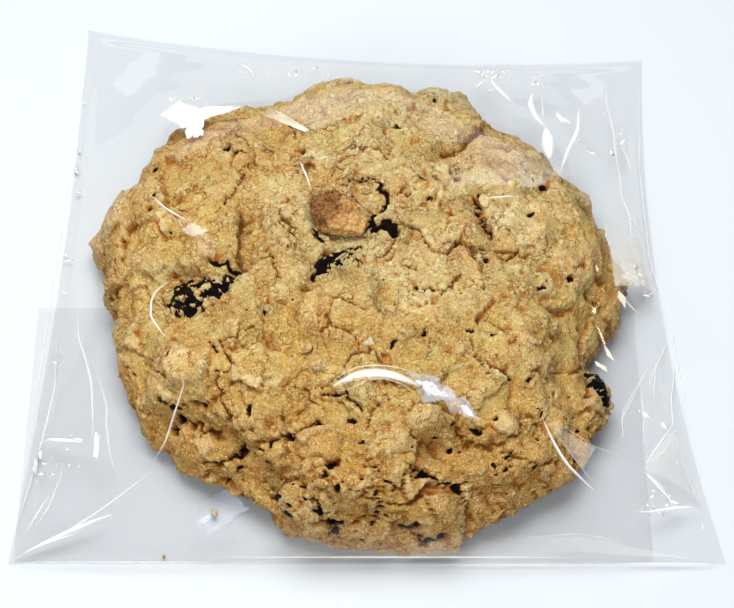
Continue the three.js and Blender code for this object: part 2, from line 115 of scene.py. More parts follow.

# Cracks in the crust: the line that each one follows, its depth, half its width and how dark it is
# painted inside as shade.
CRACKS = (
    (((-39, -44), (-38, -46), (-34, -48), (-31, -48), (-27, -51)), 1.5, 0.5, 0.6),
    (((-23, -53), (-17, -53), (-14, -52), (-10, -50)), 1.4, 0.5, 0.6),
    (((-34, -54), (-31, -55), (-27, -53)), 1.8, 0.7, 0.8),
    (((18, -50), (20, -54), (23, -54), (27, -54), (32, -52)), 0.9, 0.5, 0.5),
    (((10, -62), (13, -61), (14, -62), (18, -62)), 1.5, 0.5, 0.9),
    (((1, -69), (2, -68), (3, -67)), 1.8, 0.7, 1.0),
    (((7, -70), (9, -70), (12, -71), (15, -70), (16, -69)), 1.8, 0.6, 0.9),
    (((-33, -33), (-32, -35)), 1.5, 0.4, 1.0),
    (((-10, -68), (-8, -69)), 2.0, 0.8, 1.0),
    (((-9, -45), (-5, -45), (-4, -47), (-2, -49)), 1.6, 0.5, 0.8),
    (((-27, 1), (-26, -2), (-27, -5), (-27, -13), (-29, -15)), 1.6, 1.0, 0.4),
    (((17, 20), (21, 21), (24, 27), (27, 30)), 1.8, 1.1, 0.4),
    (((24, 5), (25, 0), (26, -2), (27, -5)), 1.8, 0.6, 0.7),
    (((19, 10), (20, 8)), 1.5, 0.7, 0.6),
    (((2, 7), (4, 4), (3, 2), (1, 0)), 1.5, 1.15, 1.0),
    (((2, 1), (0, -1), (-1, -2)), 1.4, 1.1, 1.0),
    (((1, -2), (1.5, -4), (5, -4), (5.5, -6)), 1.4, 1.1, 1.0),
    (((-12, -17), (-10, -14), (-8, -12)), 1.5, 0.8, 1.0),
    (((-8, -12), (-6, -10), (-4, -8.5), (-1.5, -8)), 1.1, 0.5, 1.0),
    (((-11, -4), (-10.5, -5), (-9.5, -7)), 1.3, 0.9, 1.0),
    (((-5, 8), (-2, 9), (2, 8)), 0.8, 0.3, 0.7),
    (((-33, -11), (-31, -12), (-28, -14)), 1.2, 0.6, 1.0),
    (((-10, -66), (-9, -68), (-8, -69), (-5, -69)), 1.2, 0.6, 1.0),
    (((19, -62), (20, -64), (21, -65), (20, -66), (22, -66)), 1.0, 0.35, 1.0),
    (((49, -16), (51, -16)), 1.5, 0.5, 0.9),
    (((29, -40), (30, -41)), 1.5, 0.5, 1.0),
    (((16, -22), (20, -17)), 1.2, 0.5, 0.5),
    (((7, 5), (9, 4)), 1.5, 0.6, 0.6),
    (((-31, 3), (-29, 6), (-28, 9), (-27, 11)), 1.1, 0.4, 0.6),
    (((-29, 31), (-29, 23), (-25, 20)), 1.0, 0.4, 0.6),
    (((-29, 17), (-27, 17)), 1.2, 0.4, 0.9),
    (((-42, 2), (-40, 1)), 1.0, 0.3, 0.8),
    (((-23, -12), (-21, -12), (-19, -18)), 1.0, 0.4, 0.6),
    (((-3, 17), (0, 18), (3, 18), (5, 15)), 1.0, 0.4, 0.5),
    (((30, -10), (33, -9), (35, -10)), 1.0, 0.4, 0.6),
    (((17, -9), (21, -8), (23, -10)), 1.0, 0.4, 0.5),
    (((23, -37), (24, -39), (25, -40)), 0.9, 0.4, 0.5),
    (((28, -55), (32, -57), (36, -57), (40, -54)), 1.0, 0.4, 0.4),
    (((-1, -66), (4, -67), (9, -67), (11, -65)), 1.0, 0.4, 0.4),
    (((0, -53), (1, -49), (2, -48)), 1.1, 0.5, 0.5),
    (((-31, -33), (-28, -38), (-32, -41), (-31, -45), (-28, -49)), 1.2, 0.4, 0.6),
    (((-30, -33), (-26, -31), (-24, -30)), 0.9, 0.4, 0.5),
    (((-46, -34), (-42, -39)), 0.9, 0.4, 0.5),
)


# ---- Helpers ----


def linear(hex_colour):
    """An sRGB hex colour as a linear colour with full alpha."""
    channels = [int(hex_colour[i:i + 2], 16) / 255 for i in (1, 3, 5)]
    return tuple(c / 12.92 if c <= 0.04045 else ((c + 0.055) / 1.055) ** 2.4 for c in channels) + (1.0,)


def add_node(tree, kind, settings=None, inputs=None, links=None):
    """Adds a shader node, sets its properties and sockets, and links other nodes' outputs to it."""
    node = tree.nodes.new(kind)
    for name, value in (settings or {}).items():
        setattr(node, name, value)
    for name, value in (inputs or {}).items():
        node.inputs[name].default_value = value
    for name, source in (links or {}).items():
        tree.links.new(source, node.inputs[name])
    return node


def set_ramp(ramp_node, stops):
    """Gives a colour ramp its stops, as pairs of a place and a linear colour."""
    elements = ramp_node.color_ramp.elements
    while len(elements) > 1:
        elements.remove(elements[-1])
    elements[0].position, elements[0].color = stops[0]
    for place, colour in stops[1:]:
        elements.new(place).color = colour


def new_material(name):
    """An empty material with its node tree and output."""
    material = bpy.data.materials.new(name)
    material.use_nodes = True
    tree = material.node_tree
    tree.nodes.clear()
    return material, tree, add_node(tree, "ShaderNodeOutputMaterial")


def new_piece(name, bm, material, replaced=()):
    """Makes a shown piece from a bmesh in metres. It rides on the part's only body."""
    mesh = bpy.data.meshes.new(name)
    bm.to_mesh(mesh)
    bm.free()
    mesh.materials.append(material)
    mesh.shade_smooth()
    piece = bpy.data.objects.new(name, mesh)
    bpy.context.scene.collection.objects.link(piece)
    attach(piece, "root")
    for node in replaced:
        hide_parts(node)
    return piece


def cad_tree(names):
    """The surfaces of some CAD nodes as one search tree, in millimetres."""
    corners = []
    faces = []
    for name in names:
        mesh = frame["nodes"][name].data
        first = len(corners)
        corners.extend(tuple(v.co / MM) for v in mesh.vertices)
        faces.extend(tuple(first + i for i in p.vertices) for p in mesh.polygons)
    return BVHTree.FromPolygons(corners, faces)


def positions(bm):
    """The places of a bmesh's corners, in millimetres."""
    return np.array([v.co for v in bm.verts]) / MM


def place(bm, points):
    """Moves a bmesh's corners to new places, in millimetres."""
    for vert, point in zip(bm.verts, points * MM):
        vert.co = point


def normals(bm):
    """The outward normal at each corner."""
    bm.normal_update()
    return np.array([v.normal for v in bm.verts])


def neighbours(bm):
    """The corners beside each corner, six in a row; a corner with fewer repeats its last."""
    rows = []
    for vert in bm.verts:
        row = [edge.other_vert(vert).index for edge in vert.link_edges]
        rows.append((row + [row[-1]] * 6)[:6])
    return np.array(rows)


def soften(values, beside, rounds, share=0.5):
    """Evens values out over the surface, a little in each round."""
    for _ in range(rounds):
        values = values + share * (values[beside].mean(axis=1) - values)
    return values


def grain(points, size, octaves=3, seed=0.0):
    """Rough noise between about -1 and 1, with its largest grain as wide as size."""
    shifted = (points / size + seed).tolist()
    return np.array([noise.fractal(p, 1.0, 2.0, octaves) for p in shifted])


def drift(points, size, seed=0.0):
    """A smooth random push for each point, between about -1 and 1 along each axis."""
    noise.seed_set(NOISE_SEED)
    shifted = (points / size + seed).tolist()
    return np.array([noise.noise_vector(p) for p in shifted])


def slide(points, outward, size, amount, seed=0.0):
    """Pushes points about along the surface, so that what is drawn on them turns uneven."""
    push = drift(points, size, seed) * amount
    return points + push - outward * np.sum(push * outward, axis=1)[:, None]


def plates(points, size, seed=0.0):
    """Splits space into uneven lumps. Gives the distance to the nearest joint, a number for each
    lump between 0 and 1, how near its middle each point lies, from 0 to 1, and the rise of its
    own slope there."""
    noise.seed_set(NOISE_SEED)
    shifted = (points / size + seed).tolist()
    gaps = np.empty(len(points))
    marks = np.empty(len(points))
    swells = np.empty(len(points))
    slopes = np.empty(len(points))
    for i, point in enumerate(shifted):
        distances, centres = noise.voronoi(point)
        gaps[i] = (distances[1] - distances[0]) * size
        marks[i] = noise.cell(centres[0] * 7.31)
        swells[i] = 1 - distances[0] ** 2
        slopes[i] = noise.noise_vector(centres[0] * 3.7).dot(Vector(point) - centres[0]) * size
    return gaps, marks, np.clip(swells, 0, 1), slopes


def groove(gaps, width):
    """1 in the middle of a joint, falling to 0 a few widths away."""
    return np.exp(-((gaps / width) ** 2))


def step_between(values, low, high):
    """0 below low, 1 above high and a smooth step between them."""
    share = np.clip((values - low) / (high - low), 0, 1)
    return share * share * (3 - 2 * share)


def store(piece, name, values):
    """Keeps one number for each corner, for the piece's material."""
    layer = piece.data.attributes.new(name, "FLOAT", "POINT")
    layer.data.foreach_set("value", np.asarray(values, np.float32))


def fine_ball(rounds, cuts):
    """A ball of even triangles with a radius of 1 mm."""
    bm = bmesh.new()
    bmesh.ops.create_icosphere(bm, subdivisions=rounds, radius=MM)
    if cuts:
        bmesh.ops.subdivide_edges(bm, edges=bm.edges, cuts=cuts, use_grid_fill=True)
    ball = positions(bm)
    place(bm, ball / np.linalg.norm(ball, axis=1)[:, None])
    return bm


# ---- The dough ----

# The plain section of the cookie: share of its reach, share of its thickness. The foot weight is
# how much of the ball's way goes to the foot, which needs fewer triangles.
SECTION = ((0, 1), (0.3, 0.98), (0.5, 0.93), (0.65, 0.86), (0.8, 0.73), (0.9, 0.58),
           (0.97, 0.4), (1, 0.24), (0.985, 0.09), (0.96, 0))
FOOT_WEIGHT = 0.35

# Flaky ledges in the crust: width, rise, how dark the painted shadow beneath them is, and a seed.
LEDGES = ((10.0, 0.45, 0.75, 101.0), (5.0, 0.3, 0.65, 107.0), (3.0, 0.2, 0.6, 113.0))


def cookie_reach(angles):
    """The cookie's plain reach from its middle in some directions, from the CAD solid."""
    corners = np.array([v.co for v in frame["nodes"]["cookie"].data.vertices])[:, :2] / MM
    spread = corners - COOKIE_CENTRE
    turns = np.arctan2(spread[:, 1], spread[:, 0])
    far = np.linalg.norm(spread, axis=1)
    sectors = 24
    middles = (np.arange(sectors) + 0.5) / sectors * 2 * math.pi - math.pi
    sector = np.clip(((turns + math.pi) / (2 * math.pi) * sectors).astype(int), 0, sectors - 1)
    reach = np.array([far[sector == i].max() for i in range(sectors)]) - 1.5
    return np.interp(angles, middles, reach, period=2 * math.pi)


def plain_dome(ball):
    """Draws a ball out to the cookie's plain dome. The ball's angle from its top becomes the way
    along the dome's section, so that the triangles stay even."""
    reach, rise = np.array(SECTION).T
    steps = np.hypot(np.diff(reach) * COOKIE_HIGH[0], np.diff(rise) * COOKIE_THICKNESS)
    lengths = np.r_[0, np.cumsum(steps)]
    foot_reach = reach[-1] * COOKIE_HIGH[0]
    whole = lengths[-1] + FOOT_WEIGHT * foot_reach
    path = np.arccos(np.clip(ball[:, 2], -1, 1)) / math.pi * whole
    across = np.interp(path, lengths, reach)
    height = np.interp(path, lengths, rise)
    foot = path > lengths[-1]
    across[foot] = reach[-1] * (whole - path[foot]) / (whole - lengths[-1])
    height[foot] = 0
    angle = np.arctan2(ball[:, 1], ball[:, 0])
    out = cookie_reach(angle) * across
    return np.stack([
        COOKIE_CENTRE[0] + out * np.cos(angle),
        COOKIE_CENTRE[1] + out * np.sin(angle),
        COOKIE_FOOT + COOKIE_THICKNESS * height,
    ], 1)


def settle_on(points, directions, tree, reach):
    """Moves points onto a surface along their own directions, from outside it."""
    settled = points.copy()
    for i, (point, direction) in enumerate(zip(points, directions)):
        start = point + direction * reach
        hit = tree.ray_cast(Vector(start), Vector(-direction), 3 * reach)[0]
        if hit is not None:
            settled[i] = hit
    return settled


def heights_under(trees, spots, scale=1.0):
    """The highest surface under each place. The scale is the trees' own length of a millimetre."""
    down = Vector((0, 0, -1))
    found = np.zeros(len(spots))
    for tree in trees:
        for i, (x, y) in enumerate(spots * scale):
            hit = tree.ray_cast(Vector((x, y, 100 * scale)), down)[0]
            if hit is not None:
                found[i] = max(found[i], hit[2] / scale)
    return found


def spots_on(points, tree, line):
    """Corners of the crust that lie along a line over the cookie, every half millimetre or so."""
    spots = []
    for start, end in zip(line[:-1], line[1:]):
        share = np.linspace(0, 1, int(math.dist(start, end) / 0.5) + 1)[:, None]
        path = np.array(start) * (1 - share) + np.array(end) * share
        for spot in np.c_[path, heights_under([tree], path)]:
            spots.append(points[np.argmin(np.sum((points - spot) ** 2, axis=1))])
    return spots


def away_from(points, spots):
    """The distance from each point to the nearest of some spots."""
    return np.sqrt(np.min([np.sum((points - spot) ** 2, axis=1) for spot in spots], axis=0))


def pits(points, outward, rough):
    """Small random pits: how deep each corner lies in one, and how near its middle."""
    random = np.random.default_rng(907)
    chance = (0.15 + rough) * (outward[:, 2] > -0.2)
    middles = random.choice(len(points), 150, replace=False, p=chance / chance.sum())
    depth = np.zeros(len(points))
    middle_share = np.zeros(len(points))
    for middle in middles:
        radius = 0.2 + 0.4 * random.random() ** 3
        stretch = 1 + random.random(3)
        near = np.abs(points - points[middle]).max(axis=1) < 5 * radius
        away = np.linalg.norm((points[near] - points[middle]) / stretch, axis=1)
        depth[near] = np.maximum(depth[near], (0.4 + radius) * np.exp(-((away / radius) ** 4)))
        middle_share[near] = np.maximum(middle_share[near], 1 - away / (2 * radius))
    return depth, middle_share


def bare_fruit(points, fruit_gap, nearest):
    """Where the dough draws back from the raisins that it covers."""
    patchy = grain(points, 1.3, 3, 83.0) + 0.5 * grain(points, 5.0, 2, 89.0)
    bare = np.zeros(len(points))
    for i, name in enumerate(RAISIN_NODES):
        over = (nearest == i) & (fruit_gap < 0.8)
        if over.any():
            limit = np.quantile(patchy[over], 1 - BARE_SHARE[name])
            bare[over] = step_between(patchy[over], limit - 0.12, limit + 0.12)
    return bare


def ledges(points, rough, broken):
    """Flaky ledges: how far they stand out, and how dark the painted shadow beneath them is."""
    out = np.zeros(len(points))
    under = np.zeros(len(points))
    for size, rise, dark, seed in LEDGES:
        layer = grain(points, size, 6, seed)
        spread = grain(points, 1.7 * size, 2, seed + 3) + 0.25 * rough
        kept = step_between(spread, 0.1, 0.25) * broken
        out += rise * kept * (step_between(layer, -0.02, 0.04) - 0.5)
        under = np.maximum(under, dark * kept * (1 - np.abs(layer + 0.05) / 0.06))
    return out, under


def openings(points, outward, crust):
    """The named holes and cracks: how deep each corner lies in one, how near to a hole and to a
    crack's line, how far within a crack's walls, and how far a crack bares the fruit beneath."""
    slid = slide(slide(points, outward, 1.8, 0.9, 13.7), outward, 0.7, 0.4, 17.9)
    depth, hole, seam, walls, opened = np.zeros((5, len(points)))
    for spot, radius in HOLES:
        away = away_from(slid, spots_on(slid, crust, (spot, spot)))
        depth += (1.2 + radius) * np.exp(-((away / radius) ** 4))
        hole = np.maximum(hole, 1 - away / (2 * radius))
    for line, deep, half, dark in CRACKS:
        away = away_from(slid, spots_on(slid, crust, line))
        dip = groove(away, half)
        depth += 0.8 * deep * dip
        walls = np.maximum(walls, dip)
        seam = np.maximum(seam, 1 - away / (2 * half))
        hole = np.maximum(hole, dark * (1 - away / (1.5 * half)))
        opened = np.maximum(opened, dark * step_between(dip, 0.3, 0.6))
    return depth, hole, seam, walls, opened


def dough_fields(points, outward, lumps, sizes):
    """Works out how far the crust stands out at each corner, and what colours it there."""
    gaps = []
    for name in RAISIN_NODES:
        tree = cad_tree([name])
        gaps.append([tree.find_nearest(Vector(p), 12)[3] or 12 for p in points])
    nearest = np.argmin(gaps, axis=0)
    fruit_gap = np.min(gaps, axis=0)

    # The near flank and the sides are rough, the top is calmer, and the far side calmer still.
    side = 1 - step_between(outward[:, 2], 0.2, 0.75)
    flank = step_between(-points[:, 1] - 0.9 * points[:, 2], 22, 44)
    rough = np.clip(0.75 * flank + 0.6 * side, 0, 1)
    broken = 0.4 + 0.6 * step_between(grain(points, 12.0, 2, 127.0), -0.2, 0.25)
    broken *= 1 - 0.45 * step_between(points[:, 1], 0, 30)
    crag_spread = step_between(grain(points, 19, 2, 53.0), -0.1, 0.5)
    craggy = np.clip(0.25 + 0.9 * rough + 0.5 * crag_spread, 0, 1.4) * broken
    from_middle = np.hypot(points[:, 0] - 8, 0.9 * (points[:, 1] + 4))
    baked = step_between(from_middle - 0.35 * points[:, 1], 14, 52)

    # Mounds, large plates, small plates and crumbs, each with its own joints.
    warped = slide(slide(points, outward, 7.0, 4.0, 3.1), outward, 2.0, 1.4, 8.4)
    small_warped = slide(slide(points, outward, 2.6, 1.3, 5.7), outward, 0.9, 0.6, 1.9)
    mound_gap, mound_mark, mound_swell, mound_slope = plates(warped, 9.0, 91.0)
    gap_large, mark_large, _, slope_large = plates(warped, sizes.plate, 11.0)
    gap_small, mark_small, swell_small, slope_small = plates(small_warped, sizes.plate * 0.4, 23.0)
    _, mark_crumb, swell_crumb, _ = plates(small_warped, sizes.plate * 0.13, 31.0)
    open_large = step_between(grain(points, 14, 2, 41.0) + 0.35 * rough, 0.0, 0.3)
    open_small = step_between(grain(points, 6, 2, 47.0) + 0.5 * rough, 0.25, 0.5)

    out = (0.95 + 0.35 * rough) * lumps + 1.0 * (mound_swell - 0.6) + 0.28 * mound_slope
    out += 0.15 * slope_large + 0.22 * np.clip(slope_small, -1.5, 1.5) * (0.3 + 0.7 * craggy)
    out += 0.35 * (mound_mark - 0.5) * step_between(mound_gap, 0, 1.5)
    out += 1.0 * (mark_large - 0.5) * step_between(gap_large, 0.0, 1.0) * (0.5 + 0.5 * craggy)
    out += (0.3 * (mark_small - 0.5) + 0.25 * (swell_small - 0.6)) * craggy
    out += (0.1 * (mark_crumb - 0.5) + 0.18 * (swell_crumb - 0.6)) * (0.3 + 0.7 * craggy)
    out += 0.35 * grain(points, 5.0, 5, 2.0) * (0.4 + 0.6 * craggy)
    ledge, under = ledges(points, rough, broken)
    out += ledge

    # Joints that broke open, pits, and the named holes and cracks.
    out -= sizes.crack_depth * open_large * groove(gap_large, 0.4) * (0.4 + 0.6 * broken)
    out -= 0.6 * sizes.crack_depth * open_small * groove(gap_small, 0.28) * broken
    pit, pit_middle = pits(small_warped, outward, rough)
    crust = cad_tree(["cookie"] + RAISIN_NODES)
    depth, hole, seam, walls, opened = openings(points, outward, crust)
    out -= pit + depth

    # The dough lies thin over the fruit, and draws back from it in places.
    over = step_between(-fruit_gap, -1.0, -0.3)
    bare = np.maximum(bare_fruit(points, fruit_gap, nearest), opened)
    out = out * (1 - 0.6 * over) + (0.9 - 2.7 * bare) * over

    seam = np.maximum(seam, open_large * (0.5 + 0.5 * broken) * (1 - gap_large / 1.0))
    seam = np.maximum(seam, 0.9 * open_small * broken * (1 - gap_small / 0.8))
    rim = open_large * groove(gap_large - 0.8, 0.6) + open_small * groove(gap_small - 0.5, 0.4)
    return {
        "out": out,
        # The seam value also takes the painted shadow beneath the ledges.
        "seam": np.maximum(seam, under),
        "hole": np.maximum(hole, pit_middle),
        "fruit": np.exp(-fruit_gap / 2.2),
        "rough": rough,
        "rim": np.clip(rim + groove(walls - 0.35, 0.25), 0, 1),
        "baked": np.clip(baked + 0.5 * grain(points, 24.0, 2, 61.0), 0, 1),
        "tone": 0.4 * mark_small + 0.25 * mark_crumb + 0.35 * mound_mark,
    }


# Values kept on the crust for its colours.
DOUGH_VALUES = (
    "baked", "tone", "mound", "seam", "hole", "fruit", "rough", "rim", "hollow", "crest")

# Patterns in the crumb: the width of their grain in millimetres, and their detail.
DOUGH_PATTERNS = {
    "bake_marks": (11, 3),
    "green_patches": (15, 2),
    "brown_patches": (8, 3),
    "toasted_spots": (4.5, 4),
    "ember_spots": (2.2, 3),
    "sugar": (0.45, 3),
    "bran": (0.36, 2),
    "pores": (0.42, 3),
    "sand": (0.5, 4),
    "ragged": (0.7, 3),
    "layers": (2.6, 6),
    "fine_layers": (1.3, 5),
    "flaked": (5, 2),
}

# Parts of those patterns: the pattern, where the part starts, where it is full and its greatest.
DOUGH_PARTS = {
    "fray": ("ragged", 0.3, 0.7, 0.3),
    "brown": ("brown_patches", 0.52, 0.64, 1.0),
    "flaky": ("flaked", 0.45, 0.6, 1.0),
    "layer_step": ("layers", 0.495, 0.515, 1.0),
    "fine_step": ("fine_layers", 0.48, 0.53, 1.0),
    "sandy": ("sand", 0.2, 0.8, 1.0),
}

# Two values worked into one.
DOUGH_JOINS = {
    "brown_bake": ("MULTIPLY", "brown", "baked"),
    "flake_edge_and_shadow": ("MULTIPLY", "layer_edge", "flaky"),
    "flake_step": ("MULTIPLY", "layer_step", "flaky"),
    "frayed_seam": ("ADD", "seam", "fray"),
    "frayed_hole": ("ADD", "hole", "fray"),
}

# The dough's colours over the first two, from the bottom up: colour, the value that it follows,
# where it starts, where it is full, and how strong it gets.
DOUGH_COATS = (
    ("golden", "bake_marks", 0.42, 0.66, 0.5),
    ("olive", "green_patches", 0.44, 0.58, 0.75),
    ("toasted", "brown_bake", 0.0, 1.0, 0.7),
    ("crumb_light", "mound", 0.5, 0.95, 0.55),
    ("ochre", "mound", 0.45, 0.05, 0.6),
    ("crumb_light", "tone", 0.5, 1.0, 0.45),
    ("flank", "tone", 0.4, 0.0, 0.45),
    ("flank", "rough", 0.0, 1.0, 0.75),
    ("toasted", "toasted_spots", 0.56, 0.68, 0.7),
    ("ember", "ember_spots", 0.64, 0.7, 0.7),
    ("stained", "fruit", 0.0, 1.0, 0.6),
    ("toasted", "rim", 0.0, 1.0, 0.5),
    ("crumb_light", "crest", 0.1, 0.7, 0.35),
    ("crumb_light", "sugar", 0.5, 0.62, 0.6),
    ("ochre", "bran", 0.5, 0.38, 0.4),
    ("pore", "pores", 0.59, 0.68, 0.55),
    # Painted shade: the dough turns caramel and then dark brown in the hollows of its relief.
    ("ember", "hollow", 0.05, 0.45, 0.8),
    ("deep", "hollow", 0.35, 0.9, 0.8),
    # A caramel line along the low side of each flaky ledge, partly the crust's own colour and partly
    # painted shadow.
    ("ember", "flake_edge_and_shadow", 0.0, 1.0, 0.6),
    # Painted shade: cracks and open joints turn dark brown inside, and holes and pits near black.
    ("deep", "frayed_seam", 0.62, 1.0, 0.85),
    ("hole_shade", "frayed_hole", 0.62, 0.8, 1.0),
)

# Relief too fine for the mesh: its rise in millimetres, and the value that it follows.
DOUGH_RELIEF = ((0.3, "flake_step"), (0.08, "fine_step"), (0.2, "sandy"))


def dough_material(colours):
    """Baked oat dough, dried in the oven: matt, with a sandy grain, flaky layers, toasted crack edges
    and a browner near flank. Shade is painted into its hollows, cracks, holes and pits and beneath its
    flaky ledges."""
    material, tree, output = new_material("baked oat dough")
    coords = add_node(tree, "ShaderNodeTexCoord").outputs["Object"]
    values = {}
    for name in DOUGH_VALUES:
        read = add_node(tree, "ShaderNodeAttribute", {"attribute_name": name})
        values[name] = read.outputs["Fac"]
    for name, (width, detail) in DOUGH_PATTERNS.items():
        pattern = add_node(
            tree, "ShaderNodeTexNoise", None,
            {"Scale": 1 / (width * MM), "Detail": detail, "Roughness": 0.6}, {"Vector": coords})
        values[name] = pattern.outputs["Fac"]
    for name, (source, low, high, most) in DOUGH_PARTS.items():
        part = add_node(
            tree, "ShaderNodeMapRange", None,
            {"From Min": low, "From Max": high, "To Max": most}, {"Value": values[source]})
        values[name] = part.outputs["Result"]
    # The band just below each ledge's step, which gets painted shadow.
    edge = add_node(
        tree, "ShaderNodeMath", {"operation": "COMPARE"}, {1: 0.485, 2: 0.015}, {0: values["layers"]})
    values["layer_edge"] = edge.outputs["Value"]
    for name, (operation, first, second) in DOUGH_JOINS.items():
        join = add_node(
            tree, "ShaderNodeMath", {"operation": operation}, None,
            {0: values[first], 1: values[second]})
        values[name] = join.outputs["Value"]

    coat = add_node(
        tree, "ShaderNodeMix", {"data_type": "RGBA"},
        {COLOUR_A: linear(colours.pale), COLOUR_B: linear(colours.golden)}, {0: values["baked"]})
    for colour, source, low, high, strength in DOUGH_COATS:
        share = add_node(
            tree, "ShaderNodeMapRange", None,
            {"From Min": low, "From Max": high, "To Max": strength}, {"Value": values[source]})
        coat = add_node(
            tree, "ShaderNodeMix", {"data_type": "RGBA"},
            {COLOUR_B: linear(getattr(colours, colour))},
            {0: share.outputs["Result"], COLOUR_A: coat.outputs[MIXED_COLOUR]})
    surface = add_node(
        tree, "ShaderNodeBsdfPrincipled", None,
        {"Roughness": 0.85, "IOR": 1.45, "Specular IOR Level": 0.25},
        {"Base Color": coat.outputs[MIXED_COLOUR]})
    shaped = surface
    for rise, source in reversed(DOUGH_RELIEF):
        bump = add_node(
            tree, "ShaderNodeBump", None, {"Strength": 1.0, "Distance": rise * MM},
            {"Height": values[source]})
        tree.links.new(bump.outputs["Normal"], shaped.inputs["Normal"])
        shaped = bump
    tree.links.new(surface.outputs["BSDF"], output.inputs["Surface"])
    return material


class CookieSizes(bpy.types.PropertyGroup):
    """Sizes of the crust, in millimetres."""

    plate: bpy.props.FloatProperty(
        name="Plate size", description="Width of the plates that the crust breaks into",
        default=11.0, min=2.0, max=40.0)
    crack_depth: bpy.props.FloatProperty(
        name="Crack depth", description="Depth of the open cracks between the plates",
        default=1.0, min=0.0, max=5.0)


class CookieColours(bpy.types.PropertyGroup):
    """Colours of the crust, as sRGB hex values."""

    pale: bpy.props.StringProperty(
        name="Pale", description="The palest dough on top", default="#e4dcac")
    golden: bpy.props.StringProperty(
        name="Golden", description="Most of the crust", default="#d0b466")
    toasted: bpy.props.StringProperty(
        name="Toasted", description="Crust edges and high spots", default="#b87e34")
    crumb_light: bpy.props.StringProperty(
        name="Light crumb", description="Dry flour and sugar grains", default="#e8d3a4")
    flank: bpy.props.StringProperty(
        name="Flank", description="The browner side", default="#b07c22")
    olive: bpy.props.StringProperty(
        name="Olive", description="Dough that baked less, greener", default="#bcae6a")
    ochre: bpy.props.StringProperty(
        name="Ochre", description="Yellower dough low between the mounds", default="#c0a45c")
    # Ember also paints the shade in hollows and the shadow beneath flaky ledges.
    ember: bpy.props.StringProperty(
        name="Ember", description="Caramel brown where the crumb turns into a hollow",
        default="#a8621a")
    pore: bpy.props.StringProperty(
        name="Pore", description="Fine pores and bran specks", default="#6e4c16")
    stained: bpy.props.StringProperty(
        name="Stained", description="Dough darkened by fruit juice", default="#9c9464")
    # Deep also paints the shade in hollows, cracks and open joints and beneath flaky ledges.
    deep: bpy.props.StringProperty(
        name="Deep", description="The inside of cracks", default="#643a0e")
    # The near black painted inside holes and pits as shade.
    hole_shade: bpy.props.StringProperty(
        name="Hole", description="The inside of holes", default="#120803")


class COOKIE_OT_dough(bpy.types.Operator):
    """Bakes the cookie's dough, with its mounds, plates, cracks and holes"""

    bl_idname = "cookie.dough"
    bl_label = "Bake the dough"

    def execute(self, context):
        sizes = context.scene.cookie_sizes
        bm = fine_ball(*DOUGH_DETAIL)
        beside = neighbours(bm)
        dome = plain_dome(positions(bm))
        place(bm, dome)
        settled = settle_on(dome, normals(bm), cad_tree(["cookie"] + RAISIN_NODES), 9)
        settled = soften(settled, beside, 20)
        place(bm, settled)
        outward = soften(normals(bm), beside, 6)
        outward /= np.linalg.norm(outward, axis=1)[:, None]
        lumps = np.sum((settled - soften(settled, beside, 90, 0.8)) * outward, axis=1)
        fields = dough_fields(settled, outward, lumps, sizes)
        on_foot = step_between(settled[:, 2], COOKIE_FOOT + 0.4, COOKIE_FOOT + 3)
        out = fields.pop("out") * on_foot
        points = settled + outward * out[:, None]
        points[:, 2] = np.maximum(points[:, 2], COOKIE_FOOT)
        past = np.maximum(BAG_NEAR_Y + NEAR_ROOM - points[:, 1], 0)
        points[:, 1] += NEAR_PRESSED * past
        place(bm, points)
        relief = out - soften(out, beside, 12)
        wide = np.sum((points - soften(points, beside, 120, 0.8)) * outward, axis=1)
        fields["mound"] = np.clip(0.5 + (wide - wide.mean()) / (3.2 * wide.std()), 0, 1)
        # Hollows of the relief, where the dough gets painted shade.
        fields["hollow"] = np.clip(-relief - 0.08, 0, 1)
        fields["crest"] = np.clip(relief - 0.08, 0, 1)
        piece = new_piece(
            "dough", bm, dough_material(context.scene.cookie_colours), ["cookie"])
        for name, values in fields.items():
            store(piece, name, values)
        return {"FINISHED"}


# ---- Crumbs and flakes on the crust ----


def scattered(rounds, places, outward, sizes, random, sink, shape):
    """Many small pieces in one mesh. Each is a ball pressed to its own shape, set on the crust
    with its flat side along it and sunk by a share of its height."""
    bm = fine_ball(rounds, 0)
    corners = positions(bm)
    points = []
    for spot, up, size in zip(places, outward, sizes):
        turn = random.random() * 2 * math.pi
        side = np.cross(up, (math.cos(turn), math.sin(turn), 0.3))
        side /= np.linalg.norm(side)
        axes = np.stack([side, np.cross(up, side), up])
        lump = shape(corners, size, random)
        height = lump[:, 2].max()
        points.append(spot + lump @ axes + up * height * (1 - 2 * sink))
    wanted = len(places) * len(corners)
    while len(bm.verts) < wanted:
        bmesh.ops.duplicate(bm, geom=bm.verts[:] + bm.edges[:] + bm.faces[:])
    bmesh.ops.delete(bm, geom=bm.verts[:][wanted:], context="VERTS")
    place(bm, np.concatenate(points))
    return bm, len(corners)


def crumb_shape(corners, size, random):
    """A crumb: an uneven ball."""
    rough = 1 + 0.3 * (random.random(len(corners)) - 0.5)
    stretch = np.array([1, 0.7 + 0.3 * random.random(), 0.5 + 0.3 * random.random()])
    return corners * rough[:, None] * stretch * size


def flake_shape(corners, size, random):
    """A rolled oat: a thin oval flake, curled a little and creased along its middle."""
    stretch = np.array([1, 0.45 + 0.2 * random.random(), 0.14])
    flake = corners * stretch * size
    flake[:, :2] *= (1 + 0.1 * (random.random(len(corners)) - 0.5))[:, None]
    curl = (random.random() - 0.3) * 0.22 / size
    flake[:, 2] += curl * flake[:, 0] ** 2 + 0.1 * np.abs(flake[:, 1]) * random.random()
    return flake


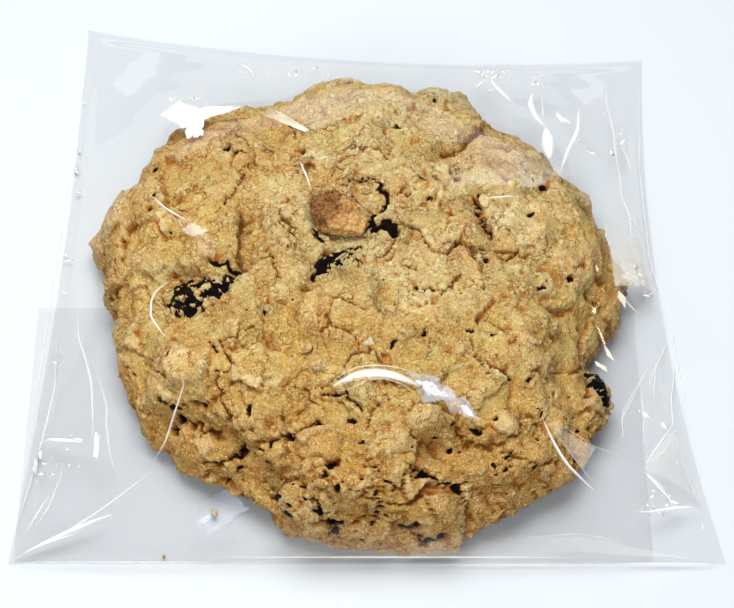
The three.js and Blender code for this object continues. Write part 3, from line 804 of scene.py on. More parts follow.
def facet_shape(corners, size, random):
    """A small flat facet of crushed film, longer than it is wide."""
    rough = 1 + 1.2 * (random.random(len(corners)) - 0.5)
    stretch = np.array([1 + 2 * random.random(), 0.6, 0.05])
    return corners * rough[:, None] * stretch * size


# What lies on the crust: how many, roundness, least and greatest size, how far each is sunk, its
# shape and how rarely it is browned.
CRUMB_KINDS = {
    "nuggets": (450, 2, 0.5, 1.2, 0.82, crumb_shape, 3),
    "coarse_grit": (2400, 1, 0.3, 0.65, 0.7, crumb_shape, 3),
    "fine_grit": (5000, 1, 0.15, 0.35, 0.6, crumb_shape, 3),
    "oat_flakes": (60, 3, 1.6, 2.8, 0.8, flake_shape, 1),
}

# Crumbs that fell off: place in the bag, and size.
LOOSE_CRUMBS = (((-32.3, -61), 1.0), ((-42.5, -71), 0.45))


class COOKIE_OT_crumbs(bpy.types.Operator):
    """Scatters crumbs and oat flakes over the crust"""

    bl_idname = "cookie.crumbs"
    bl_label = "Scatter the crumbs"

    def execute(self, context):
        mesh = bpy.data.objects["dough"].data
        points = np.array([v.co for v in mesh.vertices]) / MM
        outward = np.array([v.normal for v in mesh.vertices])
        reads = {
            name: np.array([entry.value for entry in mesh.attributes[name].data], np.float32)
            for name in ("baked", "hole", "rough", "hollow")
        }
        random = np.random.default_rng(311)
        usable = (reads["hole"] < 0.4) & (reads["hollow"] < 0.2) & (outward[:, 2] > -0.3)
        usable &= points[:, 2] > COOKIE_FOOT + 2
        chance = usable * (0.2 + reads["rough"] + 0.6 * (1 - reads["baked"]))
        for name, (count, rounds, low, high, sink, shape, rarity) in CRUMB_KINDS.items():
            chosen = random.choice(len(points), count, replace=False, p=chance / chance.sum())
            sizes = low + (high - low) * random.random(count) ** 2
            bm, corners = scattered(
                rounds, points[chosen], outward[chosen], sizes, random, sink, shape)
            piece = new_piece(name, bm, mesh.materials[0])
            for value, each in (
                ("baked", reads["baked"][chosen]),
                ("rough", reads["rough"][chosen]),
                ("mound", 0.5 + 0.4 * (random.random(count) - 0.5)),
                ("tone", 0.25 + 0.5 * random.random(count)),
                ("rim", random.random(count) ** rarity),
            ):
                store(piece, value, np.repeat(each, corners))
        fallen = np.array([(x, y, UNDER_FILM + 0.15) for (x, y), _ in LOOSE_CRUMBS])
        sizes = np.array([size for _, size in LOOSE_CRUMBS])
        up = np.tile((0.0, 0.0, 1.0), (len(sizes), 1))
        bm, _ = scattered(2, fallen, up, sizes, random, 0.0, crumb_shape)
        piece = new_piece("fallen_crumbs", bm, mesh.materials[0])
        store(piece, "rim", np.ones(len(piece.data.vertices)))
        return {"FINISHED"}


# ---- Raisins and the browned crust piece ----

# The flat broken sides of the crust piece: where each faces, and how far it is from the middle.
CHIP_SIDES = (
    ((0.75, 0.66, 0.2), 3.1), ((0.94, -0.34, 0.05), 7.0), ((0.0, -1.0, 0.1), 4.7),
    ((-0.94, -0.33, 0.1), 5.0), ((-0.6, 0.8, 0.2), 5.9), ((0.5, 0.87, 0.15), 3.8),
    ((0.2, -0.45, 0.87), 2.5), ((-0.3, 0.15, 0.94), 2.9),
)


def solid_like(name, rounds, softening):
    """A fine copy of a CAD node's form, as a ball drawn out to it."""
    low, high = (np.array(corner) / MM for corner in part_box(name))
    middle, half = (low + high) / 2, (high - low) / 2
    bm = fine_ball(rounds, 0)
    directions = positions(bm)
    middles = np.tile(middle, (len(directions), 1))
    points = settle_on(middles, directions, cad_tree([name]), 1.5 * float(half.max()))
    points = soften(points, neighbours(bm), softening)
    place(bm, points)
    return bm, middle


def raisin_material():
    """Dried dark grapes: near black, folded skin with a dull shine and bloom on its ridges."""
    material, tree, output = new_material("dried raisin skin")
    coords = add_node(tree, "ShaderNodeTexCoord").outputs["Object"]
    wrinkle = add_node(
        tree, "ShaderNodeTexNoise",
        inputs={"Scale": 1 / (1.1 * MM), "Detail": 3.0, "Distortion": 1.5},
        links={"Vector": coords},
    ).outputs["Fac"]
    skin = add_node(tree, "ShaderNodeValToRGB", links={"Fac": wrinkle})
    set_ramp(skin, ((0.3, linear("#060303")), (0.6, linear("#0c0605")), (0.8, linear("#1e120c"))))
    shine = add_node(
        tree, "ShaderNodeMapRange", inputs={"To Min": 0.35, "To Max": 0.65},
        links={"Value": wrinkle},
    ).outputs["Result"]
    bump = add_node(
        tree, "ShaderNodeBump", inputs={"Strength": 1.0, "Distance": 0.35 * MM},
        links={"Height": wrinkle},
    ).outputs["Normal"]
    surface = add_node(
        tree, "ShaderNodeBsdfPrincipled", inputs={"IOR": 1.45, "Specular IOR Level": 0.25},
        links={"Base Color": skin.outputs["Color"], "Roughness": shine, "Normal": bump},
    )
    tree.links.new(surface.outputs["BSDF"], output.inputs["Surface"])
    return material


def crust_piece_material():
    """A chip of crust, baked hard and torn: coarse and matt, dark on its torn side and paler on
    the other."""
    material, tree, output = new_material("browned crust")
    coords = add_node(tree, "ShaderNodeTexCoord").outputs["Object"]
    torn = add_node(tree, "ShaderNodeAttribute", {"attribute_name": "torn"}).outputs["Fac"]
    coarse = add_node(
        tree, "ShaderNodeTexNoise", inputs={"Scale": 1 / (0.7 * MM), "Detail": 5.0},
        links={"Vector": coords},
    ).outputs["Fac"]
    blend = add_node(
        tree, "ShaderNodeMath", {"operation": "MULTIPLY_ADD"}, {1: 0.9}, {0: coarse, 2: torn},
    ).outputs["Value"]
    brown = add_node(tree, "ShaderNodeValToRGB", links={"Fac": blend})
    set_ramp(brown, (
        (0.25, linear("#dcbc84")), (0.45, linear("#c4985c")), (0.7, linear("#a67648")),
        (0.95, linear("#6a4626")),
    ))
    bump = add_node(
        tree, "ShaderNodeBump", inputs={"Strength": 1.0, "Distance": 0.55 * MM},
        links={"Height": coarse},
    ).outputs["Normal"]
    surface = add_node(
        tree, "ShaderNodeBsdfPrincipled",
        inputs={"Roughness": 0.8, "IOR": 1.45, "Specular IOR Level": 0.25},
        links={"Base Color": brown.outputs["Color"], "Normal": bump},
    )
    tree.links.new(surface.outputs["BSDF"], output.inputs["Surface"])
    return material


class COOKIE_OT_raisins(bpy.types.Operator):
    """Sets the wrinkled raisins into the dough"""

    bl_idname = "cookie.raisins"
    bl_label = "Set the raisins"

    def execute(self, context):
        material = raisin_material()
        for name in RAISIN_NODES:
            bm, _ = solid_like(name, 5, 3)
            points = positions(bm)
            ridge = np.abs(grain(points, 3.2, 3, 60.0))
            place(bm, points + normals(bm) * (0.2 - 1.4 * ridge)[:, None])
            new_piece(name.replace("raisin", "fruit"), bm, material, [name])
        return {"FINISHED"}


class COOKIE_OT_crust_piece(bpy.types.Operator):
    """Shapes the browned piece of crust that stands proud near the middle"""

    bl_idname = "cookie.crust_piece"
    bl_label = "Shape the crust piece"

    def execute(self, context):
        bm, middle = solid_like("crust_piece", 6, 4)
        points = positions(bm) - middle
        for side, away in CHIP_SIDES:
            side = np.array(side) / np.linalg.norm(side)
            points -= np.outer(np.clip(points @ side - away, 0, None), side)
        points = soften(points, neighbours(bm), 2)
        across = points @ np.array([-0.75, 0.65, 0.1]) + 2.2 * grain(points, 3.0, 4, 66.0)
        torn = step_between(across, -2.5, 1.6)
        points += middle
        place(bm, points)
        coarse = grain(points, 1.7, 5, 70.0)
        out = (0.5 + 0.4 * torn) * coarse - 0.5 * torn * step_between(-coarse, 0.25, 0.45)
        place(bm, points + normals(bm) * out[:, None])
        piece = new_piece(
            "browned_piece", bm, crust_piece_material(), ["crust_piece"])
        store(piece, "torn", torn * 0.38)
        return {"FINISHED"}


# ---- The bag ----

# The bag's outline in millimetres, and how far each side is drawn in at its middle.
BAG_WIDTH = 150.0
BAG_LENGTH = 145.0
BAG_RIGHT_LENGTH = 135.5
BAG_NEAR_Y = float(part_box("bag")[0][1]) / MM
BAG_CORNERS = {
    "near_left": (-BAG_WIDTH / 2, BAG_NEAR_Y),
    "near_right": (BAG_WIDTH / 2, BAG_NEAR_Y),
    "far_left": (-68.5, BAG_NEAR_Y + BAG_LENGTH),
    "far_right": (67.0, BAG_NEAR_Y + BAG_RIGHT_LENGTH),
}
LEFT_SAG, RIGHT_SAG, FAR_SAG = 2.0, 5.0, 5.0
SEAM_WIDTH = 5.0
UNDER_FILM = 0.45
NEAR_ROUND = 2.5
TUCK_SIZE = (134.0, 64.0)
TUCK_MIDDLE_X = -7.0
TUCK_ROOM = 0.3
BAG_CELLS = (220, 212)
GLARE_CELLS = 30

# How far the folds, the panes of glare and the facets lie above the film.
FILM_GAP, GLARE_GAP, FACET_GAP = 0.05, 0.12, 0.15

# The section of a fold: the way across it, as a share of half its width, and its height there.
FOLD_SECTION = ((-1.0, -0.4, 0.0, 0.4, 1.0), (0.0, 0.8, 1.0, 0.8, 0.0))

# Sharp folds in the film: the line that each one follows, its height, half its width and how white it
# is, which is partly the milky bend of the film and partly a painted glint.
FOLDS = (
    # The first three lines make the long bright arch over the front of the cookie's top: a painted
    # highlight in place of a lamp's reflection.
    (((-7.5, -45.4), (-5, -44.1), (-2, -43), (1.5, -42.5), (5, -42.9), (8, -43.9), (11, -45.2)),
     0.3, 1.3, 1.0),
    (((-8.5, -45.6), (-7, -44), (-4.5, -42.2), (-2, -41.2), (2, -40.8), (6, -41.2), (9.5, -42.2),
      (12, -43.6)), 0.15, 0.14, 0.8),
    (((-8, -46), (-4.5, -46.2), (-2, -45.2), (0.5, -44), (3.5, -43.8), (7, -44.8), (10, -46.8),
      (12, -48)), 0.15, 0.14, 0.6),
    (((-69, -13), (-69, -24), (-68, -31), (-70, -43), (-72, -54), (-74, -64), (-74.6, -71)),
     0.4, 0.28, 0.5),
    (((-64, -50), (-65, -55), (-67, -61), (-71, -67)), 0.3, 0.22, 0.5),
    (((69, -12), (68, -25), (66.5, -33), (66, -41), (62, -48), (58, -54)), 0.4, 0.28, 0.6),
    (((58, -54), (63, -59), (65, -62)), 0.3, 0.3, 0.8),
    (((62, -27), (60, -31), (56, -39), (54, -43), (54, -48), (50, -52)), 0.4, 0.24, 0.45),
    (((66, -19), (63, -27), (62, -34), (61, -41)), 0.4, 0.24, 0.4),
    (((59, 28), (58, 18), (60, 11), (59, 3), (60, -2)), 0.3, 0.24, 0.45),
    (((-64, -13), (-63, -22), (-61, -28), (-59, -35), (-58, -46), (-59, -51)), 0.4, 0.35, 0.5),
    (((-58, -33), (-55, -42), (-55, -46), (-54, -52), (-52, -58)), 0.35, 0.3, 0.4),
    (((-70, -44), (-65, -46), (-60, -48)), 0.5, 0.6, 1.0),
    (((-74, -71.5), (-63, -67), (-57, -65), (-52, -64)), 0.6, 0.6, 1.0),
    (((-74, -71.5), (-65, -68), (-54, -62), (-45, -57), (-43, -56)), 0.4, 0.3, 0.6),
    (((-73, -71), (-64, -68), (-59, -67)), 0.4, 0.3, 0.7),
    (((-72, -66), (-67, -58)), 0.4, 0.3, 0.6),
    (((-39, -39), (-38, -42), (-40, -47), (-42, -52), (-45, -56)), 0.4, 0.3, 0.6),
    (((-48, 6), (-44, 1), (-38, -4)), 0.4, 0.3, 0.95),
    (((-41, -17), (-45, -19), (-46, -21), (-46, -25), (-43, -30), (-41, -32)), 0.4, 0.3, 0.95),
    (((-15, 12), (-13, 6), (-12, 2)), 0.35, 0.28, 0.9),
    (((25, 2), (29, 3), (33, 4)), 0.35, 0.3, 0.9),
    (((58, 60), (57, 48), (58, 38), (58, 29), (59, 12)), 0.5, 0.4, 0.3),
    (((59, 38), (62, 26)), 0.4, 0.3, 0.3),
    (((59, 10), (64, 10)), 0.4, 0.4, 0.6),
    (((56, -14), (60, -16)), 0.4, 0.4, 0.6),
    (((56, -11), (65, -5)), 0.3, 0.3, 0.3),
    (((25, 42), (28, 50)), 0.5, 0.45, 0.9),
    (((29, 52), (30, 46), (32, 42), (34, 39)), 0.5, 0.5, 0.95),
    (((28, 42), (30, 45)), 0.4, 0.4, 0.8),
    (((39, 46), (38, 40), (39, 34), (41, 31)), 0.6, 0.8, 1.0),
    (((41, 31), (41, 25), (41, 18)), 0.8, 1.6, 1.0),
    (((44, 39), (45, 36), (46, 36), (48, 36)), 0.6, 0.75, 1.0),
    (((50, 44), (49, 34), (46, 25), (43, 14)), 0.5, 0.6, 1.0),
    (((41, 46), (41, 38), (40, 32)), 0.3, 0.3, 0.5),
    (((68, -15), (64, -25), (61, -33), (61, -38)), 0.4, 0.3, 0.5),
    (((62, -27), (60, -31), (57, -38), (54, -44), (54, -48), (51, -52)), 0.4, 0.3, 0.35),
    (((66, -41), (63, -46), (58, -54)), 0.4, 0.35, 0.6),
    (((67, -42), (63, -49), (58, -54)), 0.3, 0.3, 0.35),
    (((58, -54), (63, -58), (63, -59)), 0.4, 0.35, 0.6),
    (((59, -34), (59, -44), (58, -53)), 0.3, 0.25, 0.3),
    (((56, -63), (59, -63), (63, -62), (71, -60)), 0.6, 0.5, 0.8),
    (((36, -48), (38, -52), (40, -55), (42, -57), (48, -61)), 0.6, 0.45, 0.95),
    (((37, -49), (43, -50), (48, -52), (56, -52)), 0.3, 0.25, 0.25),
    (((39, -51), (43, -55), (48, -60)), 0.3, 0.25, 0.3),
    (((36, -70), (43, -69), (50, -69), (55, -70)), 0.4, 0.3, 0.3),
    (((-31, 57), (-28, 53), (-26, 46)), 0.5, 0.5, 0.6),
    (((-68, 71), (-69, 40), (-71, 5), (-72, -20), (-73.5, -50), (-74.5, -71)), 0.3, 0.3, 0.4),
    (((66, 62), (64, 30), (64.5, 5), (68, -15), (70, -35), (71.5, -50), (74.5, -71)), 0.3, 0.3, 0.4),
)

# Straight lines along the folded near edge, painted bright as the edge's glints: from and to across the
# bag, how far they lie in front of the edge, height and whiteness.
NEAR_GLINT_LINES = (
    (-34, 45, 0.2, 4.2, 0.8), (-72, -30, 0.2, 2.0, 0.4), (52, 73, 0.2, 1.2, 0.9),
    (10, 56, 0.2, 0.8, 0.35),
)

# Soft bulges in the film that catch the light: middle, reach across and along, turn in degrees,
# and height.
BULGES = (
    ((-42, 31), (6, 4), 25, 0.9),
    ((-32, 34), (7, 2), 5, 0.7),
    ((-56, -46), (2.5, 5), -25, 0.8),
    ((-70, -48), (1.5, 4), -10, 0.6),
    ((-32, -66), (6, 3), 0, 0.7),
    ((60, 3), (5, 8), 0, 0.9),
    ((43, 24), (3, 8), 10, 0.8),
    ((-66, 8), (2.5, 6), 0, 0.5),
    ((64, -60), (6, 3), 5, 0.8),
)


# Panes of painted glare on the film, milky white patches that stand in for reflections of the lamps:
# the four corners, how white each is, how ragged the pane's rim is and how warm its light is.
PAINTED_GLARES = (
    (((8, -42), (14.5, -42.8), (20, -47.4), (11.5, -49)), (0.15, 0.25, 0.5, 0.3), 0.9, -0.9),
    (((9.5, -43.6), (13.5, -44), (17.5, -47.2), (12.5, -47.2)), (0.8, 0.8, 0.9, 0.5), 0.8, -0.6),
    (((11, -44.4), (14, -44.8), (17, -47.3), (13, -46.8)), (0.8, 1.0, 1.0, 0.9), 0.6, -0.3),
    (((15, -46.2), (20, -46.6), (24.5, -51.6), (17, -50.6)), (0.3, 0.25, 0.3, 0.15), 0.9, -0.8),
    (((18.5, -48.2), (20.5, -48.4), (22.5, -50.8), (20, -50.4)), (0.6, 0.8, 1.0, 0.5), 0.9, -0.5),
    (((-48, 35), (-44, 41), (-37, 32), (-41, 25)), (0.7, 0.85, 1.0, 1.0), 0.45, 0.35),
    (((-38, 34), (-28, 31.8), (-34, 29.5), (-40, 27)), (0.95, 0.9, 0.6, 0.8), 0.4, 0.1),
    (((-42, 28), (-37, 32), (-36.5, 21.5), (-40.5, 22)), (0.95, 0.9, 0.95, 0.7), 0.45, 0.35),
    (((-25, 28.5), (-22, 31), (-12.4, 21), (-13.2, 20.2)), (0.0, 0.1, 0.5, 0.9), 0.25, 0.1),
    (((-22, 31), (-4, 38), (6, 30), (-12, 21)), (0.05, 0.12, 0.0, 0.2), 0.2, 0.6),
    (((-41, -5), (-38, -3.5), (-34, -6), (-37, -8)), (0.15, 0.3, 0.5, 0.3), 0.9, 0.2),
    (((-1.5, -35), (1, -34.6), (1.5, -36), (-0.8, -36.6)), (0.1, 0.35, 0.35, 0.1), 0.9, 0.2),
    (((52, 5), (60, 9), (65.5, -5), (54, -13)), (0.05, 0.05, 0.7, 0.6), 0.25, 0.7),
    (((55, -4), (62, -1), (63.5, -5), (56, -10)), (0.3, 0.4, 1.0, 0.9), 0.8, 0.2),
    (((-38, -65), (-29, -62), (-24, -66), (-33, -70)), (0.0, 0.1, 0.3, 0.25), 0.35, -0.9),
    (((-35, -67), (-32.5, -66), (-31, -67), (-33.8, -68)), (0.5, 0.6, 0.3, 0.5), 0.9, -0.6),
    (((37, -49), (48, -52), (45, -57), (37.5, -50)), (0.05, 0.3, 0.22, 0.05), 0.0, 0.3),
    (((66, -41), (71, -59), (66, -56), (58, -54)), (0.3, 0.3, 0.15, 0.2), 0.0, 0.0),
    (((22, -71.5), (43, -68.5), (69, -72), (45, -72)), (0.05, 0.16, 0.12, 0.1), 0.0, 0.0),
    (((16, 5), (37, 7), (46, 15), (26, 27)), (0.05, 0.3, 0.1, 0.0), 0.15, 0.4),
    (((-57.6, -46), (-56.2, -47), (-56.7, -53), (-57.8, -52)), (0.9, 0.9, 0.9, 0.5), 0.9, -0.4),
    (((-71.5, -46), (-70.3, -47), (-70.8, -52), (-72, -51)), (0.8, 0.8, 0.6, 0.4), 0.8, -0.4),
    (((55, -13), (57, -13.5), (56.5, -16.5), (54.6, -15)), (1.0, 1.0, 0.9, 0.9), 0.6, 0.8),
    (((48.3, -33), (51, -33.4), (51.2, -34.6), (48.5, -34)), (1.0, 1.0, 0.9, 0.9), 0.4, 0.8),
)

# Where the film is crushed into many small facets, painted near white as glints: middle, reach, and how
# many.
CRUSHED_GLINTS = (
    ((35, 53), (9, 4), 34), ((58, 34), (2.5, 10), 16), ((-66, -49), (5, 5), 18),
    ((-42, 38), (5, 5), 10), ((61, -6), (3, 3), 16), ((62, -61), (5, 3), 12),
    ((-20, 46), (14, 5), 10), ((50, 29), (3, 2), 6), ((-68, 10), (1.5, 40), 18),
)


def film_material(name, tint):
    """Clear polypropylene film, drawn thin: see-through, with sharp bright glints. Each sheet
    shines like its two faces together, more so where it is seen at a slant."""
    material, tree, output = new_material(name)
    clear = add_node(
        tree, "ShaderNodeBsdfTransparent", inputs={"Color": linear(tint)})
    gloss = add_node(
        tree, "ShaderNodeBsdfGlossy",
        inputs={"Color": linear("#ffffff"), "Roughness": 0.05})
    slant = add_node(tree, "ShaderNodeLayerWeight").outputs["Facing"]
    steep = add_node(tree, "ShaderNodeMath", {"operation": "POWER"}, {1: 4.0}, {0: slant})
    share = add_node(
        tree, "ShaderNodeMath", {"operation": "MULTIPLY_ADD"}, {1: 0.5, 2: 0.025},
        {0: steep.outputs["Value"]},
    )
    surface = add_node(
        tree, "ShaderNodeMixShader",
        links={0: share.outputs["Value"], 1: clear.outputs["BSDF"], 2: gloss.outputs["BSDF"]},
    )
    tree.links.new(surface.outputs["Shader"], output.inputs["Surface"])
    return material


def milky_fold_and_glint_material():
    """Film bent sharply turns milky, and the same milky white paints glints and reflections on the
    folds, the panes of glare and the facets. A fold line fades out at its ends.
    """
    material, tree, output = new_material("creased film and painted glints")
    clear = add_node(tree, "ShaderNodeBsdfTransparent")
    warm = add_node(tree, "ShaderNodeAttribute", {"attribute_name": "warm"}).outputs["Fac"]
    light = add_node(tree, "ShaderNodeValToRGB", links={"Fac": warm})
    set_ramp(light, (
        (0.0, linear("#dfeaff")), (0.5, linear("#fffcf6")), (1.0, linear("#fff2da")),
    ))
    milky = add_node(
        tree, "ShaderNodeBsdfPrincipled", inputs={"Roughness": 0.2, "IOR": 1.5},
        links={"Base Color": light.outputs["Color"]})
    white = add_node(tree, "ShaderNodeAttribute", {"attribute_name": "white"}).outputs["Fac"]
    surface = add_node(
        tree, "ShaderNodeMixShader",
        links={0: white, 1: clear.outputs["BSDF"], 2: milky.outputs["BSDF"]},
    )
    tree.links.new(surface.outputs["Shader"], output.inputs["Surface"])
    return material


def bag_side(start, end, sag, share):
    """Points along a side of the bag, drawn in by its sag at the middle."""
    start, end = np.array(start), np.array(end)
    along = (end - start) / np.linalg.norm(end - start)
    inward = np.array([-along[1], along[0]])
    share = share[:, None]
    return start + (end - start) * share + inward * sag * 4 * share * (1 - share)


def bag_place(across, along):
    """Places on the bag from shares across and along it: a patch between its four sides."""
    c = {name: np.array(corner) for name, corner in BAG_CORNERS.items()}
    a, b = across[:, None], along[:, None]
    near = c["near_left"] + (c["near_right"] - c["near_left"]) * a
    far = bag_side(c["far_right"], c["far_left"], FAR_SAG, 1 - across)
    left = bag_side(c["far_left"], c["near_left"], LEFT_SAG, 1 - along)
    right = bag_side(c["near_right"], c["far_right"], RIGHT_SAG, along)
    flat_far = c["far_left"] + (c["far_right"] - c["far_left"]) * a
    return left * (1 - a) + right * a + near * (1 - b) + far * b - near * (1 - b) - flat_far * b


def grid_softened(heights, rounds, lowest=None):
    """Draws a sheet of heights taut with its rim held, never lower than what it lies on."""
    heights = heights.copy()
    for _ in range(rounds):
        beside = heights[:-2, 1:-1] + heights[2:, 1:-1] + heights[1:-1, :-2] + heights[1:-1, 2:]
        heights[1:-1, 1:-1] = beside / 4
        if lowest is not None:
            heights = np.maximum(heights, lowest)
    return heights


def grid_spread(heights):
    """Each height becomes the greatest of itself and those beside it."""
    padded = np.pad(heights, 1, mode="edge")
    rows, columns = heights.shape
    beside = [
        padded[i:i + rows, j:j + columns] for i, j in ((0, 1), (1, 0), (1, 1), (1, 2), (2, 1))
    ]
    return np.max(beside, axis=0)


def bulge(spots, middle, reach, turn, height):
    """A soft oval swelling."""
    turn = math.radians(turn)
    off = spots - np.array(middle)
    across = (off[:, 0] * math.cos(turn) + off[:, 1] * math.sin(turn)) / reach[0]
    along = (off[:, 1] * math.cos(turn) - off[:, 0] * math.sin(turn)) / reach[1]
    return height * np.exp(-(across ** 2 + along ** 2))


def film_heights(spots, shape):
    """How high the upper film lies: the bag's solid form, drawn taut over the crust, with the
    slow waves and bulges of loose film."""
    depsgraph = bpy.context.evaluated_depsgraph_get()
    contents = [
        BVHTree.FromObject(thing, depsgraph)
        for thing in bpy.context.scene.objects
        if thing.name in ("dough", "nuggets", "oat_flakes", "browned_piece")
        or thing.name.startswith("fruit_")
    ]
    # A ray on the very rim can miss the bag, so the places are drawn in a little.
    inside = spots * 0.9995
    solid = heights_under([cad_tree(["bag"])], inside).reshape(shape)
    solid = grid_softened(solid, 60)
    crust = heights_under(contents, inside, MM).reshape(shape) + 0.3
    for _ in range(6):
        crust = grid_spread(crust)
    crust = grid_softened(crust, 60)
    lowest = np.maximum(crust, solid - 1.6)
    heights = grid_softened(np.maximum(solid, crust), 250, lowest)
    heights = grid_softened(heights, 50)
    loose = step_between((heights - crust).ravel(), 0.3, 3.0)
    flat = np.c_[spots, np.zeros(len(spots))]
    waves = 0.8 * grain(flat, 26.0, 2, 5.0) + 0.3 * grain(flat, 9.0, 2, 7.0)
    rise = loose * waves
    for middle, reach, turn, height in BULGES:
        rise += bulge(spots, middle, reach, turn, height)
    heights += rise.reshape(shape)
    return grid_softened(heights, 6)


def smooth_line(line, step):
    """Points every step or so along a line, with its corners rounded."""
    line = np.array(line, float)
    lengths = np.r_[0, np.cumsum(np.linalg.norm(np.diff(line, axis=0), axis=1))]
    count = max(int(lengths[-1] / step), 4)
    even = np.linspace(0, lengths[-1], count)
    points = np.stack([np.interp(even, lengths, line[:, axis]) for axis in (0, 1)], 1)
    for _ in range(int(1.5 / step)):
        points[1:-1] = (points[:-2] + 2 * points[1:-1] + points[2:]) / 4
    return points


class COOKIE_OT_bag(bpy.types.Operator):
    """Drapes the clear film bag over the cookie"""

    bl_idname = "cookie.bag"
    bl_label = "Drape the bag"

    def execute(self, context):
        columns, rows = BAG_CELLS
        shape = (rows + 1, columns + 1)
        bm = bmesh.new()
        bmesh.ops.create_grid(bm, x_segments=columns, y_segments=rows, size=0.5 * MM)
        grid = positions(bm)
        across, along = grid[:, 0] + 0.5, grid[:, 1] + 0.5
        order = np.lexsort((across.round(6), along.round(6)))
        spots = bag_place(across, along)
        upper = np.empty(len(spots))
        upper[order] = film_heights(spots[order], shape).ravel()
        seam = np.minimum(across, 1 - across) * BAG_WIDTH
        seam = np.minimum(seam, (1 - along) * BAG_LENGTH)
        welded = UNDER_FILM + 0.15
        upper = welded + (upper - welded) * step_between(seam, 0.3, SEAM_WIDTH)
        # The near edge is folded round, not welded.
        from_near = along * BAG_LENGTH
        inset = np.clip(NEAR_ROUND - from_near, 0, NEAR_ROUND)
        upper -= (NEAR_ROUND - np.sqrt(NEAR_ROUND ** 2 - inset ** 2)) * (upper > 2 * NEAR_ROUND)
        flat = np.c_[spots, np.zeros(len(spots))]
        under = UNDER_FILM + 0.12 * grain(flat, 11.0, 2, 15.0)
        place(bm, np.c_[spots, upper])
        joined = bmesh.ops.duplicate(bm, geom=bm.faces[:] + bm.edges[:] + bm.verts[:])
        lay([part for part in joined["geom"] if isinstance(part, bmesh.types.BMVert)], spots, under)
        lower_faces = [part for part in joined["geom"] if isinstance(part, bmesh.types.BMFace)]
        bmesh.ops.reverse_faces(bm, faces=lower_faces)
        rims = [edge for edge in bm.edges if edge.is_boundary]
        bmesh.ops.bridge_loops(bm, edges=rims)
        clear = film_material("clear polypropylene film", "#fcfcfc")
        new_piece("film", bm, clear, ["bag"])
        return {"FINISHED"}


def film_tree():
    """The film as a search tree, in metres."""
    depsgraph = bpy.context.evaluated_depsgraph_get()
    return BVHTree.FromObject(bpy.data.objects["film"], depsgraph)


def add_patch(bm, across, along):
    """Adds a grid of faces to a bmesh. Gives its corners, with their shares across and along."""
    made = bmesh.ops.create_grid(bm, x_segments=across, y_segments=along, size=0.5 * MM)["verts"]
    shares = np.array([vert.co for vert in made])[:, :2] / MM + 0.5
    return made, *shares.T


def lay(verts, spots, heights):
    """Moves some corners to places on the bag and their heights, in millimetres."""
    for vert, spot, height in zip(verts, spots, heights):
        vert.co = (spot[0] * MM, spot[1] * MM, height * MM)


def add_fold(bm, path, heights, rise, half, white):
    """Adds one fold, a narrow ridge along a path. Gives the whiteness of its corners."""
    last = len(path) - 1
    ahead = np.gradient(path, axis=0)
    beside = np.stack([-ahead[:, 1], ahead[:, 0]], 1) / np.linalg.norm(ahead, axis=1)[:, None]
    taper = np.sin(np.linspace(0, math.pi, last + 1)) ** 0.6
    made, across, along = add_patch(bm, len(FOLD_SECTION[0]) - 1, last)
    columns = np.round(across * (len(FOLD_SECTION[0]) - 1)).astype(int)
    rows = np.round(along * last).astype(int)
    side, crest = np.array(FOLD_SECTION)[:, columns] * taper[rows]
    spots = path[rows] + beside[rows] * (half * side)[:, None]
    lay(made, spots, heights[rows] + FILM_GAP + rise * crest)
    return white * crest


class COOKIE_OT_folds(bpy.types.Operator):
    """Creases the film along its sharp folds and its near edge, painted milky white as glints"""

    bl_idname = "cookie.folds"
    bl_label = "Crease the film"

    def execute(self, context):
        film = film_tree()
        bm = bmesh.new()
        whites = []
        for line, rise, half, white in FOLDS:
            path = smooth_line(line, 0.6)
            heights = heights_under([film], path, MM)
            whites.append(add_fold(bm, path, heights, rise, half, white))
        for start, end, before, height, white in NEAR_GLINT_LINES:
            edge = BAG_NEAR_Y - before
            path = smooth_line(((start, edge), (end, edge)), 1.0)
            whites.append(add_fold(bm, path, np.full(len(path), height), 0.25, 0.3, white))
        piece = new_piece("film_folds", bm, milky_fold_and_glint_material())
        store(piece, "white", np.concatenate(whites))
        store(piece, "warm", np.full(len(piece.data.vertices), 0.5))
        return {"FINISHED"}


class COOKIE_OT_glare(bpy.types.Operator):
    """Lays the panes of painted glare on the film, milky white in place of reflections"""

    bl_idname = "cookie.glare"
    bl_label = "Lay the glare"

    def execute(self, context):
        film = film_tree()
        bm = bmesh.new()
        whites, warms = [], []
        for corners, corner_whites, ragged, warm in PAINTED_GLARES:
            made, across, along = add_patch(bm, GLARE_CELLS, GLARE_CELLS)
            weights = np.stack([
                (1 - across) * (1 - along), across * (1 - along),
                across * along, (1 - across) * along,
            ], 1)
            spots = weights @ np.array(corners, float)
            uneven = grain(np.c_[spots, np.zeros(len(spots))], 1.8, 4, 121.0)
            from_rim = 4 * np.minimum(across * (1 - across), along * (1 - along))
            share = step_between(from_rim + ragged * uneven, 0, 0.1 + 0.4 * ragged)
            share *= from_rim > 0.02
            lay(made, spots, heights_under([film], spots, MM) + GLARE_GAP)
            whites.append(weights @ np.array(corner_whites) * share)
            warms.append(np.full(len(spots), 0.5 + 0.5 * warm))
        # The panes take the creased film's milky material, which paints them white as reflections.
        creased = bpy.data.objects["film_folds"].data.materials[0]
        piece = new_piece("film_painted_glare", bm, creased)
        store(piece, "white", np.concatenate(whites))
        store(piece, "warm", np.concatenate(warms))
        return {"FINISHED"}


